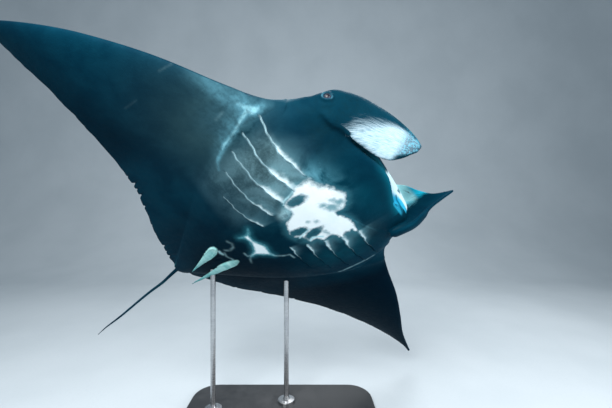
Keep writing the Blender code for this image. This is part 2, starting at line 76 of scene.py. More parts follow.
# the trunk from the tail forward, over the lips and back into the mouth: x, half width,
# height of the middle, and how far its back and its belly lie from that
TRUNK = (
    (-0.232, 0.010, 0.000, 0.008, 0.008), (-0.215, 0.020, 0.000, 0.014, 0.013),
    (-0.185, 0.038, 0.000, 0.022, 0.021), (-0.150, 0.060, 0.000, 0.031, 0.029),
    (-0.110, 0.085, 0.000, 0.040, 0.038), (-0.060, 0.117, 0.000, 0.050, 0.047),
    (-0.010, 0.146, 0.000, 0.058, 0.054), (0.040, 0.168, 0.000, 0.062, 0.058),
    (0.080, 0.179, 0.000, 0.063, 0.060), (0.110, 0.177, 0.000, 0.062, 0.060),
    (0.137, 0.170, 0.000, 0.060, 0.058), (0.160, 0.165, 0.000, 0.057, 0.055),
    (0.180, 0.160, 0.000, 0.054, 0.053), (0.200, 0.153, 0.000, 0.051, 0.051),
    (0.215, 0.1465, 0.000, 0.048, 0.049), (0.227, 0.1435, -0.001, 0.044, 0.046),
    (0.235, 0.139, -0.003, 0.038, 0.042), (0.2395, 0.129, -0.008, 0.030, 0.034),
    (0.241, 0.105, -0.014, 0.021, 0.025), (0.239, 0.090, -0.018, 0.0155, 0.019),
    (0.232, 0.080, -0.019, 0.013, 0.016), (0.215, 0.072, -0.019, 0.011, 0.013),
    (0.190, 0.060, -0.019, 0.008, 0.009))
TRUNK_OUTSIDE = TRUNK[:17]                      # its rows up to the lips
TRUNK_ROUND = 2.2                               # 2 gives an ellipse, more a squarer ring
# how far the lower jaw falls back towards its sides and how far out it has done so, and how
# far back the upper jaw lies
JAW_SWEEP, JAW_SIDE, UPPER_JAW = 0.017, 0.076, 0.004
TRUNK_FRONT, MOUTH_LEVEL = 0.2435, -0.018       # foremost x, and the height between the jaws
# the mouth's inside: its x from back to front, half height and half breadth
MOUTH_BACK, MOUTH_FRONT, MOUTH_GAP, MOUTH_SIDE = 0.186, 0.2375, 0.0235, 0.112
MOUTH_SIDE_RIGHT = 0.098                        # its dark ends sooner on the right
HEAD_START = 0.196                              # x where the head starts
# the wings: share of the half span where they start to bend, and x that they twist about;
# then three numbers for the lift of each, two for its twist and one for its sweep
ROOT, TWIST_AXIS = 0.22, 0.02
RIGHT_WING = (-0.64, 1.51, -0.58, 0.15, 0.14, -0.028)
LEFT_WING = (-0.18, 0.60, -1.17, 0.085, 0.585, 0.137)
# the cephalic fins: curves along the length, with crest and keel as shares of the breadth
RIGHT_FIN = dict(root=(0.2015, 0.1275, -0.002), length=0.185, breadth=0.0515,
                 yaw=((0, -0.04), (0.25, 0.87), (0.5, 1.17), (1, 1.18)),
                 pitch=((0, -0.25), (0.5, -0.07), (1, 0.47)), roll=((0, -0.24), (1, -0.33)),
                 curl=0.55, thick=((0, 0.0132), (0.25, 0.0080), (0.5, 0.0050), (0.75, 0.0033),
                                   (1, 0.0016)),
                 crest=((0, 0.46), (0.15, 0.45), (0.3, 0.48), (0.5, 0.68), (0.7, 0.81),
                        (0.85, 0.68), (0.94, 0.44), (1, 0.12)),
                 keel=((0, 0.82), (0.3, 1.14), (0.6, 1.24), (0.8, 1.10), (0.92, 0.74),
                       (1, 0.20)))
LEFT_FIN = dict(root=(0.200, 0.128, -0.010), length=0.115, breadth=0.062,
                yaw=((0, 0.06), (0.2, -0.10), (0.4, 0.10), (0.6, 0.06), (1, 0.06)),
                pitch=((0, 0.30), (0.5, -0.22), (1, -0.22)), roll=((0, 0.15), (1, -0.46)),
                curl=1.10, thick=((0, 0.0135), (0.3, 0.0074), (0.45, 0.0044), (0.56, 0.0022),
                                  (0.66, 0.0012), (1, 0.0008)),
                crest=((0, 1.30), (0.15, 1.42), (0.3, 1.34), (0.5, 1.12), (0.62, 0.70),
                       (0.75, 0.34), (0.9, 0.15), (1, 0.05)),
                keel=((0, 0.62), (0.25, 0.66), (0.45, 0.58), (0.56, 0.22), (0.64, 0.12),
                      (0.8, 0.08), (1, 0.04)))
FIN_SKIN = 0.0010                               # half thickness of a cephalic fin at its edges
EYE_AT, EYE_RADIUS = (0.2213, 0.1326, -0.0020), 0.0078
EYE_AXIS = (0.45, 0.72, -0.52)                  # where the left eye looks
BROW_AT = (0.236, 0.133, 0.010)                 # the swelling over the left eye
# the tail: x, y, z, half thickness
TAIL = ((-0.205, 0.000, 0.000, 0.0090), (-0.232, 0.001, -0.001, 0.0048),
        (-0.262, 0.006, -0.002, 0.0038), (-0.300, 0.0135, -0.0035, 0.0034),
        (-0.345, 0.0190, -0.0045, 0.0031), (-0.390, 0.0255, -0.0065, 0.0030),
        (-0.440, 0.0340, -0.0080, 0.0029), (-0.486, 0.0410, -0.0100, 0.0027),
        (-0.545, 0.0480, -0.0125, 0.0021), (-0.600, 0.0585, -0.0130, 0.0012))
DORSAL = dict(at=(-0.176, 0.0, 0.020), chord=0.036, height=0.034, rake=0.028, thick=0.0030)
# pelvic fins by side: root and reach
PELVIC = {1: ((-0.0700, 0.0188, -0.0440), (-0.1470, 0.0146, 0.0155)),
          -1: ((-0.0850, -0.0263, -0.0430), (-0.1012, 0.0316, 0.0125))}
PELVIC_BREADTH, PELVIC_DEPTH = 0.0088, 0.0028
MIRROR = np.array([1.0, -1.0, 1.0])

TURN = (Matrix.Rotation(math.radians(HEADING), 3, "Z")
        @ Matrix.Rotation(math.radians(-NOSE_UP), 3, "Y")
        @ Matrix.Rotation(math.radians(-BANK), 3, "X"))


def mm(length):
    """Millimetres on the animal in disc widths."""
    return length / 1000.0 / DISC_WIDTH


def on_side(points, side):
    """Places or directions as they are for the left side (1), mirrored for the right (-1)."""
    return np.array(points) * (1, side, 1)


# ------------------------------------------------------------------ curves and the pose
def curve(points):
    """Monotone cubic curve through (x, y) points."""
    xs = np.array([p[0] for p in points], float)
    ys = np.array([p[1] for p in points], float)
    h = np.diff(xs)
    d = np.diff(ys) / h
    m = np.zeros(len(xs))
    m[0], m[-1] = d[0], d[-1]
    for i in range(1, len(xs) - 1):
        if d[i - 1] * d[i] > 0:
            a, b = 2 * h[i] + h[i - 1], h[i] + 2 * h[i - 1]
            m[i] = (a + b) / (a / d[i - 1] + b / d[i])

    def value(x):
        x = np.clip(x, xs[0], xs[-1])
        i = np.clip(np.searchsorted(xs, x, side="right") - 1, 0, len(h) - 1)
        t = (x - xs[i]) / h[i]
        return ((1 + 2 * t) * (1 - t) ** 2 * ys[i] + t * (1 - t) ** 2 * h[i] * m[i]
                + t * t * (3 - 2 * t) * ys[i + 1] + t * t * (t - 1) * h[i] * m[i + 1])
    return value


def ease(t):
    t = np.clip(t, 0.0, 1.0)
    return t * t * (3 - 2 * t)


def bell(d, width):
    return np.exp(-(d / width) ** 2)


def columns(table, *picks):
    return [curve([(row[0], row[k]) for row in table]) for k in picks]


def unit(v):
    return v / np.maximum(np.linalg.norm(v, axis=-1, keepdims=True), 1e-12)


def lift(u, wing):
    return wing[0] * ease(u / 0.35) + wing[1] * u + wing[2] * u * u


def bend_side(points, wing, steps=240):
    """Carries flat points with y >= 0 (disc widths) along one bent wing."""
    mids = (np.arange(steps) + 0.5) / steps
    reach = (1 - ROOT) * 0.5
    angle = lift(mids, wing)
    run = np.concatenate([[0.0], np.cumsum(np.cos(angle))]) / steps * reach
    rise = np.concatenate([[0.0], np.cumsum(np.sin(angle))]) / steps * reach
    knots = np.arange(steps + 1) / steps
    u = np.clip((points[:, 1] / 0.5 - ROOT) / (1 - ROOT), 0, None)
    out = np.minimum(points[:, 1], ROOT * 0.5) + np.interp(u, knots, run)
    up = np.interp(u, knots, rise)
    tilt, twist = lift(np.minimum(u, 1), wing), wing[3] * u + wing[4] * u * u
    dx = points[:, 0] - TWIST_AXIS
    normal = -dx * np.sin(twist) + points[:, 2] * np.cos(twist)
    return np.stack([TWIST_AXIS + dx * np.cos(twist) + points[:, 2] * np.sin(twist)
                     + wing[5] * u * u,
                     out - np.sin(tilt) * normal, up + np.cos(tilt) * normal], axis=1)


def pose(points):
    """Flat animal, disc widths -> posed animal, metres, both in the animal's frame."""
    points = np.atleast_2d(np.asarray(points, float))
    left = bend_side(points, LEFT_WING)
    right = bend_side(points * MIRROR, RIGHT_WING) * MIRROR
    return np.where(points[:, 1:2] >= 0, left, right) * DISC_WIDTH


def on_stand(points):
    """Animal's frame, metres -> place on the stand."""
    return points @ np.array(TURN).T + np.array(BODY_AT)


# ------------------------------------------------------------------ forms of the flat animal
LEAD, TRAIL = columns(PLANFORM, 1, 2)
DEPTH = curve(WING_DEPTH)
# least half thicknesses while the skin is made, since the remesh would lose thinner forms
BUILD_EDGE, BUILD_TAIL, BUILD_DORSAL, BUILD_PELVIC = mm(5.6), mm(5.2), mm(5.0), mm(4.6)


def wing_half_depth(v, c, thin=True):
    """Half thickness of the disc at a share of the half span and a share of the chord."""
    edge = EDGE_DEPTH * (1 - 0.35 * v)
    t = DEPTH(v) * 2.6 * np.sqrt(c) * (1 - c)
    if thin:
        return t + edge * ease(c * 1.6)
    return t + np.maximum(edge, BUILD_EDGE) * np.sqrt(np.clip(c * 12, 0, 1))


def disc_rings(spans=170, chords=64):
    """The disc's rings from the right wing's tip to the left one's, closer towards the tips."""
    half = 1 - (1 - np.linspace(0.0, 1.0, spans)) ** 1.12
    stations = np.concatenate([-half[:0:-1], half])
    c = 0.5 - 0.5 * np.cos(np.linspace(0, math.pi, chords))
    rings = []
    for v in stations:
        x0, x1 = LEAD(abs(v)), TRAIL(abs(v))
        t = wing_half_depth(abs(v), c, thin=False)
        x, y = x0 + (x1 - x0) * c, np.full(chords, v * 0.5)
        top, low = np.stack([x, y, t], axis=1), np.stack([x, y, -t], axis=1)
        rings.append(np.vstack([top, low[:0:-1]]))
    return rings


def trunk_rings(around=180, along=230):
    """The trunk's rings by the way along its outline, so that they can turn back in."""
    way = [0.0]
    for a, b in zip(TRUNK, TRUNK[1:]):
        way.append(way[-1] + math.dist((a[0], a[1] * 0.5), (b[0], b[1] * 0.5)))
    xs, half, mid, up, down = (curve([(w, row[k]) for w, row in zip(way, TRUNK)])
                               for k in range(5))
    phi = np.linspace(0, 2 * math.pi, around, endpoint=False)
    power = 2 / TRUNK_ROUND
    cy = np.sign(np.cos(phi)) * np.abs(np.cos(phi)) ** power
    sz = np.sign(np.sin(phi)) * np.abs(np.sin(phi)) ** power
    rings = []
    for s in np.linspace(0, way[-1], along):
        y = half(s) * cy
        z = mid(s) + np.where(sz > 0, up(s), down(s)) * sz
        low = ease(0.5 - 0.5 * sz)
        x = xs(s) - ease((xs(s) - 0.12) / 0.08) * (
            low * JAW_SWEEP * ease(np.abs(y) / JAW_SIDE) + (1 - low) * UPPER_JAW)
        rings.append(np.stack([x, y, z], axis=1))
    return rings


def fin_frame(fin, n):
    """Shares of the length of a cephalic fin, with its centre line, the blade's direction
    and its normal there, for the left side."""
    s = np.linspace(0, 1, n + 1)

    def heading(t):
        pitch, yaw = curve(fin["pitch"])(t), curve(fin["yaw"])(t)
        return np.stack([np.cos(pitch) * np.cos(yaw), -np.cos(pitch) * np.sin(yaw),
                         -np.sin(pitch)], axis=1)
    mids = (s[1:] + s[:-1]) / 2
    line = np.vstack([[0, 0, 0], np.cumsum(heading(mids), axis=0) * fin["length"] / n])
    line = line + np.array(fin["root"])
    ahead = heading(s)
    down = np.array([0.0, 0.0, -1.0])
    blade = unit(down - (ahead @ down)[:, None] * ahead)
    side = np.cross(ahead, blade)
    roll = curve(fin["roll"])(s)[:, None]
    blade = blade * np.cos(roll) + side * np.sin(roll)
    return s, line, blade, np.cross(ahead, blade)


def fin_rings(fin, n=80, around=45):
    """A cephalic fin's rings, curled across its breadth, for the left side."""
    s, line, blade, normal = fin_frame(fin, n)
    crest, keel, half_thick = (curve(fin[k]) for k in ("crest", "keel", "thick"))
    w = -np.cos(np.linspace(0, math.pi, around))
    rings = []
    for i in range(n + 1):
        breadth = fin["breadth"] * np.where(w < 0, crest(s[i]), keel(s[i]))
        thick = np.minimum(half_thick(s[i]), breadth * 0.55)
        arc = w * fin["curl"]
        across = breadth * np.sin(arc) / fin["curl"]
        inward = -breadth * (1 - np.cos(arc)) / fin["curl"]
        t = thick * np.sqrt(1 - w * w) * (1 - 0.25 * w) + FIN_SKIN
        mid = line[i] + np.outer(across, blade[i]) + np.outer(inward, normal[i])
        out = np.outer(t * np.sin(arc), blade[i]) + np.outer(t * np.cos(arc), normal[i])
        rings.append(np.vstack([mid + out, (mid - out)[::-1]]))
    return rings


def tail_rings(around=24, n=200):
    """The tail's round rings from its tip to the trunk."""
    pts = np.array(TAIL)
    s = np.concatenate([[0], np.cumsum(np.linalg.norm(np.diff(pts[:, :3], axis=0), axis=1))])
    f = [curve(list(zip(s, pts[:, k]))) for k in range(4)]
    phi = np.linspace(0, 2 * math.pi, around, endpoint=False)
    rings = []
    for t in np.linspace(0, s[-1], n)[::-1]:
        c = [f[k](t) for k in range(3)]
        r = max(f[3](t), BUILD_TAIL)
        rings.append(np.stack([np.full(around, c[0]), c[1] + r * np.cos(phi),
                               c[2] + r * np.sin(phi)], axis=1))
    return rings


def dorsal_rings(around=28, n=40):
    """The dorsal fin's rings, from inside the tail's root up."""
    d = DORSAL
    rings = []
    phi = np.linspace(0, 2 * math.pi, around, endpoint=False)
    for t in np.linspace(-0.25, 1, n):
        k = max(t, 0.0)
        half = d["chord"] * 0.5 * math.sqrt(max(1 - k ** 2.2, 0.02))
        x = d["at"][0] - d["rake"] * t + (0.25 * half * k)
        rings.append(np.stack([x + half * np.cos(phi),
                               max(d["thick"] * (1 - 0.55 * k), BUILD_DORSAL) * np.sin(phi),
                               np.full(around, d["at"][2] + d["height"] * t)], axis=1))
    return rings


def pelvic_rings(side, around=24, n=50):
    """One pelvic fin's leaf-shaped rings from its root back."""
    root, reach = (np.array(v) for v in PELVIC[side])
    b = PELVIC_BREADTH
    shape = curve(((0, 0.5 * b), (0.12, b), (0.35, 0.92 * b), (0.65, 0.52 * b), (1, 0.10 * b)))
    phi = np.linspace(0, 2 * math.pi, around, endpoint=False)
    rings = []
    for t in np.linspace(0, 1, n):
        half, depth = shape(t), max(PELVIC_DEPTH * (1 - 0.5 * t), BUILD_PELVIC)
        rings.append(root + reach * t + np.outer(np.cos(phi) * half, (0, 1, 0))
                     + np.outer(np.sin(phi) * min(depth, half * 0.9), (0, 0, 1)))
    return rings


def loft(rings, strip=False):
    """Closed tube through equal rings: vertices, faces.  A strip's ends are closed in quads."""
    n = len(rings[0])
    verts, faces = np.vstack(rings), []
    for r in range(len(rings) - 1):
        for k in range(n):
            a, b = r * n + k, r * n + (k + 1) % n
            faces.append((a, b, b + n, a + n))
    for r, flip in ((0, True), (len(rings) - 1, False)):
        if strip:
            for k in range(n // 2 - 1):
                quad = (r * n + k, r * n + k + 1, r * n + n - 2 - k, r * n + n - 1 - k)
                faces.append(quad[::-1] if flip else quad)
        else:
            cap = tuple(range(r * n, r * n + n))
            faces.append(cap[::-1] if flip else cap)
    return verts, faces


# ------------------------------------------------------------------ mesh helpers
def new_object(name, data):
    ob = bpy.data.objects.new(name, data)
    bpy.context.scene.collection.objects.link(ob)
    return ob


def new_mesh(name, verts, faces):
    me = bpy.data.meshes.new(name)
    me.from_pydata(np.asarray(verts, float).tolist(), [], faces)
    me.update()
    return me


def applied(ob):
    """The mesh that an object's modifiers give.  The object goes."""
    bpy.context.view_layer.update()
    deps = bpy.context.evaluated_depsgraph_get()
    me = bpy.data.meshes.new_from_object(ob.evaluated_get(deps))
    bpy.data.objects.remove(ob)
    return me


def coordinates(me):
    co = np.empty(len(me.vertices) * 3, np.float32)
    me.vertices.foreach_get("co", co)
    return co.reshape(-1, 3).astype(float)


def normals(me):
    no = np.empty(len(me.vertices) * 3, np.float32)
    me.vertex_normals.foreach_get("vector", no)
    return no.reshape(-1, 3).astype(float)


def set_coordinates(me, co):
    me.vertices.foreach_set("co", np.ascontiguousarray(co, np.float32).ravel())
    me.update()


def edge_array(me):
    e = np.empty(len(me.edges) * 2, np.int32)
    me.edges.foreach_get("vertices", e)
    return e.reshape(-1, 2)


def relax(co, edges, weight, rounds):
    """Moves points towards the mean of their neighbours, by a weight for each."""
    n = len(co)
    near = np.flatnonzero(weight > 1e-3)
    mark = np.zeros(n, bool)
    mark[near] = True
    e = edges[mark[edges[:, 0]] | mark[edges[:, 1]]]
    a, b = np.concatenate([e[:, 0], e[:, 1]]), np.concatenate([e[:, 1], e[:, 0]])
    count = np.maximum(np.bincount(a, minlength=n), 1)
    w = np.where(mark, weight, 0.0)[:, None]
    for _ in range(rounds):
        mean = np.stack([np.bincount(a, co[b, k], minlength=n) for k in range(3)], axis=1)
        co = co + w * (mean / count[:, None] - co)
    return co


def put(me, name, values, kind="FLOAT"):
    at = me.attributes.new(name, kind, "POINT")
    values = np.ascontiguousarray(values, np.float32)
    at.data.foreach_set("value" if kind == "FLOAT" else "vector", values.ravel())


# ------------------------------------------------------------------ the skin's relief
def whole_body(voxel):
    """All forms of the flat animal as one closed skin, in disc widths."""
    verts, faces, n = [], [], 0
    parts = [(disc_rings(), False), (trunk_rings(), False), (tail_rings(), False),
             (dorsal_rings(), False), (pelvic_rings(1), False), (pelvic_rings(-1), False),
             (fin_rings(LEFT_FIN), True), ([r * MIRROR for r in fin_rings(RIGHT_FIN)], True)]
    for rings, strip in parts:
        v, f = loft(rings, strip)
        verts.append(v)
        faces += [tuple(i + n for i in face) for face in f]
        n += len(v)
    me = new_mesh("forms", np.vstack(verts) * DISC_WIDTH, faces)
    bm = bmesh.new()
    bm.from_mesh(me)
    bmesh.ops.recalc_face_normals(bm, faces=bm.faces)
    bm.to_mesh(me)
    bm.free()
    ob = new_object("forms", me)
    mod = ob.modifiers.new("one_skin", "REMESH")
    mod.mode, mod.voxel_size = "VOXEL", voxel
    me = applied(ob)
    set_coordinates(me, coordinates(me) / DISC_WIDTH)
    return me


def disc_share(p):
    """Share of the half span and of the chord for flat points."""
    v = np.clip(np.abs(p[:, 1]) / 0.5, 0, 1)
    lead, trail = LEAD(v), TRAIL(v)
    return v, np.clip((lead - p[:, 0]) / np.maximum(lead - trail, 1e-6), 0, 1)


def trunk_height(p, which):
    """Height of the trunk's back (+1) or belly (-1) over the mid plane, negative outside."""
    half, mid, up, down = columns(TRUNK_OUTSIDE, 1, 2, 3, 4)
    h = half(p[:, 0])
    q = np.abs(p[:, 1]) / h
    top = (up if which > 0 else down)(p[:, 0])
    inside = np.clip(1 - np.minimum(q, 1) ** TRUNK_ROUND, 0, 1) ** (1 / TRUNK_ROUND)
    return np.where(q < 1, top * inside, -(q - 1) * h * 2.0) + which * mid(p[:, 0])


def swell(a, b, k):
    """Smooth maximum: a fillet of size k where two forms meet."""
    h = np.clip(k - np.abs(a - b), 0, None) / k
    return np.maximum(a, b) + h * h * k * 0.25


FILLET = 0.020               # size of the fillet between the trunk and the wings
HEAD_FADE = 0.030            # stretch behind the head's start over which the settling fades


def settle_heights(p):
    """Thins the edges to their real depth and fairs the trunk into the wings.  The pelvic
    fins, the dorsal fin and the tail's root aren't pulled flat with the rest."""
    v, c = disc_share(p)
    built = wing_half_depth(v, c, thin=False)
    wing = wing_half_depth(v, c)
    x, y = p[:, 0], p[:, 1]
    margin = 0.004
    sheet = (x < LEAD(v) + margin) & (x > TRAIL(v) - margin) & (x < HEAD_START)
    fins = np.zeros(len(p))
    for side in (1, -1):
        root, reach = (np.array(q) for q in PELVIC[side])
        t = np.clip((p - root) @ reach / (reach @ reach), -0.1, 1.2)
        fins = np.maximum(fins, bell(np.linalg.norm(p - root - t[:, None] * reach, axis=1), 0.014))
    fins = np.maximum(fins, bell((x + 0.19) / 1.6, 0.022) * bell(y, 0.010) * (p[:, 2] > 0))
    fins = np.maximum(fins, ease((-0.190 - x) / 0.02) * bell(y, 0.022))
    behind_head = ease((HEAD_START - x) / HEAD_FADE)
    fade = behind_head * (1 - np.clip(fins * 1.6, 0, 1))
    out = p.copy()
    for which in (1, -1):
        z = p[:, 2] * which
        trunk = trunk_height(p, which)
        old = np.maximum(built, trunk)
        new = swell(wing, trunk, FILLET)
        ratio = 1 + (new / np.maximum(old, 1e-5) - 1) * behind_head
        side = sheet & (z > 0) & (z < old + margin)
        near = fade * (1 - ease((np.abs(z - old) - 0.002) / margin))
        moved = z * ratio
        moved = moved + near * (new - moved)
        out[:, 2] = np.where(side, moved * which, out[:, 2])
    return out


def refined(me, region):
    """Splits the faces whose corners all lie in a region into four."""
    bm = bmesh.new()
    bm.from_mesh(me)
    inside = region(coordinates(me))
    edges = [e for e in bm.edges if inside[e.verts[0].index] and inside[e.verts[1].index]]
    bmesh.ops.subdivide_edges(bm, edges=edges, cuts=1, use_grid_fill=True)
    bm.to_mesh(me)
    bm.free()
    me.update()
    return me


def fine_region(p):
    """Where points lie on the gills or the head, whose faces are split for finer relief."""
    x, y, z = p.T
    gills = (x > -0.01) & (x < 0.175) & (np.abs(y) > 0.02) & (np.abs(y) < 0.20) & (z < -0.01)
    head = (x > HEAD_START) & (np.abs(y) < 0.16)
    return gills | head


# gill slits, counted from the head: place of the inner and outer ends of the first one, how
# they move from one slit to the next, and how far each sags back half way along
SLITS = {-1: dict(inner=(0.143, 0.071), outer=(0.1350, 0.1745), step=(-0.0283, -0.0308),
                  in_step=-0.0105, curve_in=(-0.0010, -0.0160),
                  sag=(0.0052, 0.0040, 0.0018, 0.0012, 0.0)),
         1: dict(inner=(0.153, 0.070), outer=(0.148, 0.166), step=(-0.0287, -0.0287),
                 in_step=-0.0088, curve_in=(-0.0030, -0.0120),
                 sag=(0.0, 0.0, 0.0008, 0.0010, 0.0))}
SLIT_COUNT = 5
SLIT_HOOK = 2.5              # how soon a slit's forward hook straightens


def slit_place(p, side, i):
    """Share of the way from a slit's inner end, and the distance ahead of it."""
    g = SLITS[side]
    xi, yi = g["inner"][0] + g["step"][0] * i, g["inner"][1] + g["in_step"] * i
    xo = g["outer"][0] + g["step"][1] * i
    yo = g["outer"][1] + g["curve_in"][0] * i + g["curve_in"][1] * i * i / 4
    y = p[:, 1] * side
    t = (y - yi) / (yo - yi)
    line = xo + (xi - xo) * np.clip(1 - t, 0, 1.15) ** SLIT_HOOK
    ripple = mm(2.6) * np.sin(19 * t + 2.1 * i) + mm(1.4) * np.sin(43 * t + 4.0 * i)
    return t, p[:, 0] - line + g["sag"][i] * bell(t - 0.45, 0.28) + ripple, yo - yi


def ends(t, length, soft=0.010):
    """1 along a slit, fading over its last stretch at both ends."""
    k = soft / length
    return ease(t / k + 0.5) * ease((1 - t) / k + 0.5)


BREADTH_REACH = 1.3          # how far out across a cephalic fin places are told apart


def fin_place(p, n, fin, side):
    """Share of a cephalic fin's length, share of its breadth (-1 crest, 1 keel), and how
    far the surface faces its outer side."""
    q, m = on_side(p, side), on_side(n, side)
    s, line, blade, normal = fin_frame(fin, 90)
    best = np.full(len(q), 1e9)
    at = np.zeros(len(q), int)
    for i in range(len(s)):
        d = ((q - line[i]) ** 2).sum(axis=1)
        hit = d < best
        best[hit], at[hit] = d[hit], i
    off = q - line[at]
    w = (off * blade[at]).sum(axis=1)
    crest, keel, half_thick = (curve(fin[k])(s[at]) for k in ("crest", "keel", "thick"))
    span = fin["breadth"] * np.where(w < 0, crest, keel)
    w = np.clip(w / span, -BREADTH_REACH, BREADTH_REACH)
    arc = np.arcsin(np.clip(w * fin["curl"], -0.999, 0.999))
    height = (off * normal[at]).sum(axis=1) + span * (1 - np.cos(arc)) / fin["curl"]
    shell = half_thick * np.sqrt(np.clip(1 - (arc / fin["curl"]) ** 2, 0, 1)) + FIN_SKIN
    on = ease((shell * 1.2 + 0.0045 - np.abs(height)) / 0.0020) * (np.sqrt(best) < 0.11)
    on = on * (np.abs(w) < math.sin(fin["curl"]) / fin["curl"] + 0.10)
    return s[at], w, (m * normal[at]).sum(axis=1), on


def fin_roots(p):
    """1 in the creases where the cephalic fins leave the head, fading away from them."""
    weight = np.zeros(len(p))
    q = np.where(p[:, 1:2] > 0, p, p * MIRROR)
    for a, b in (((0.203, 0.120, -0.040), (0.226, 0.100, -0.042)),
                 ((0.206, 0.134, -0.021), (0.214, 0.110, -0.037))):
        way = np.subtract(b, a)
        t = np.clip((q - a) @ way / (way @ way), 0, 1)
        off = np.linalg.norm(q - a - t[:, None] * way, axis=1)
        weight = np.maximum(weight, bell(off, 0.011))
    return 0.75 * weight


# torn nicks in the trailing edge: place out along the wing, depth and half breadth in mm
NICKS = ((-0.206, 9, 6), (-0.190, 25, 8), (-0.180, 12, 5), (-0.168, 21, 7), (-0.148, 13, 6),
         (-0.112, 5, 5), (-0.062, 16, 7), (-0.048, 8, 5), (-0.036, 15, 7), (-0.022, 10, 5),
         (0.068, 8, 6), (0.118, 10, 7), (0.165, 9, 6), (0.231, 12, 8))


def carve_gills(p, n, sizes):
    """How far the belly stands out: gill flaps with their slits, shoulder ridges, the vent."""
    x, y, z = p.T
    belly = ease(-n[:, 2] / 0.35) * (z < 0)
    step = sizes.flap_step / DISC_WIDTH
    depth = sizes.slit_depth / DISC_WIDTH
    push = np.zeros(len(p))
    for side in (-1, 1):
        for i in range(SLIT_COUNT):
            t, d, length = slit_place(p, side, i)
            e = ends(t, length) * belly * (y * side > 0)
            near = np.abs(d) < 0.05
            ahead = (d > 0) * 0.44 * step * np.exp(-np.clip(d, 0, None) / mm(26))
            behind = (d <= 0) * 0.56 * step * np.exp(np.clip(d, None, 0) / mm(20))
            groove = depth * bell(d + mm(3.0), mm(3.2))
            push += e * near * (ahead - behind - groove)
        ridge = 0.152 + 0.42 * (x - 0.045) + 0.9 * np.clip(x - 0.09, 0, None) ** 1.5
        span = ease(x / 0.04) * ease((0.160 - x) / 0.03)
        push += mm(5.0) * belly * span * bell(y * side - ridge, mm(28))
        push -= mm(4.0) * belly * span * bell(y * side - ridge - 0.022, mm(45))
    push -= mm(6.0) * belly * bell(x + 0.104, mm(30)) * bell(y, mm(9))
    return push


def torn_edge(p):
    """How far the trailing edge is moved forward: slow waves and torn nicks."""
    x, y = p[:, 0], p[:, 1]
    c = disc_share(p)[1]
    edge = ease((c - 0.90) / 0.10) * (np.abs(y) > 0.03) * (x < 0)
    wave = mm(3.0) * np.sin(y * 95 + 1.3 * np.sin(y * 37))
    wave = wave + mm(1.4) * np.sin(y * 231 + 2.0 + 2.4 * np.sin(y * 61))
    for at, depth, breadth in NICKS:
        wave = wave + mm(depth) * bell(y - at, mm(breadth))
    return edge * wave


def around_eye(p, side):
    """For one eye: how far points lie along its axis, how far off it, and the axis."""
    axis = unit(on_side(EYE_AXIS, side))
    off = p - on_side(EYE_AT, side)
    out = off @ axis
    return out, np.linalg.norm(off - np.outer(out, axis), axis=1), axis


def carve(p, n, sizes):
    """Gives flat points the gills' relief, the torn edge, the lids, sockets and brows."""
    q = p + n * carve_gills(p, n, sizes)[:, None]
    q[:, 0] += torn_edge(p)
    for side in (-1, 1):
        out, r, axis = around_eye(q, side)
        near = (out > -1.6 * EYE_RADIUS) & (r < EYE_RADIUS * 3.2)
        rim = mm(5.0) * bell(r - EYE_RADIUS * 0.98, EYE_RADIUS * 0.30)
        groove = mm(1.6) * bell(r - EYE_RADIUS * 1.60, EYE_RADIUS * 0.30)
        socket = mm(20.0) * (1 - ease((r / EYE_RADIUS - 0.42) / 0.40))
        q += np.outer(near * (rim - groove - socket), axis)
        brow = np.linalg.norm(p - on_side(BROW_AT, side), axis=1)
        q += n * (mm(9.0) * bell(brow, mm(58)))[:, None]
    return q


# ------------------------------------------------------------------ the skin's markings, with painted light and shade
# the white blaze between the gills, round its edge, and the dark and misty ovals in it:
# place, half length, half breadth, turn in degrees from the snout towards the left
BLAZE = (
    (0.1150, -0.0580), (0.1195, -0.0628), (0.1296, -0.0605), (0.1379, -0.0575),
    (0.1406, -0.0488), (0.1478, -0.0402), (0.1561, -0.0356), (0.1624, -0.0273),
    (0.1671, -0.0167), (0.1712, -0.0120), (0.1680, -0.0030), (0.1631, 0.0062),
    (0.1550, 0.0100), (0.1440, 0.0080), (0.1420, 0.0170), (0.1480, 0.0240),
    (0.1535, 0.0402), (0.1530, 0.0540), (0.1510, 0.0680), (0.1471, 0.0560),
    (0.1405, 0.0590), (0.1304, 0.0600), (0.1235, 0.0625), (0.1180, 0.0491),
    (0.1065, 0.0475), (0.0960, 0.0500), (0.0900, 0.0410), (0.0770, 0.0390),
    (0.0640, 0.0250), (0.0580, 0.0080), (0.0602, 0.0010), (0.0634, -0.0063),
    (0.0685, -0.0157), (0.0803, -0.0207), (0.0890, -0.0290), (0.0880, -0.0400),
    (0.0900, -0.0480), (0.1050, -0.0530))
DARK_LOBES = (
    (0.1070, -0.0438, 0.0215, 0.0092, 0), (0.0725, 0.0108, 0.0190, 0.0086, 4),
    (0.0925, 0.0268, 0.0212, 0.0080, -12), (0.1515, 0.0165, 0.0120, 0.0042, 60),
    (0.0590, 0.0290, 0.0160, 0.0110, 20), (0.0585, -0.0315, 0.0065, 0.0080, 0),
    (0.1370, 0.0760, 0.0120, 0.0185, 0), (0.1080, 0.0650, 0.0105, 0.0165, 0))
VEIL_LOBES = (
    (0.1365, -0.0125, 0.0062, 0.0042, 50),
    (0.1455, -0.0020, 0.0115, 0.0056, 40), (0.1570, -0.0060, 0.0105, 0.0040, 50),
    (0.0985, 0.0003, 0.0032, 0.0026, 20), (0.1088, 0.0066, 0.0032, 0.0026, 20),
    (0.1100, 0.0400, 0.0060, 0.0022, 60))
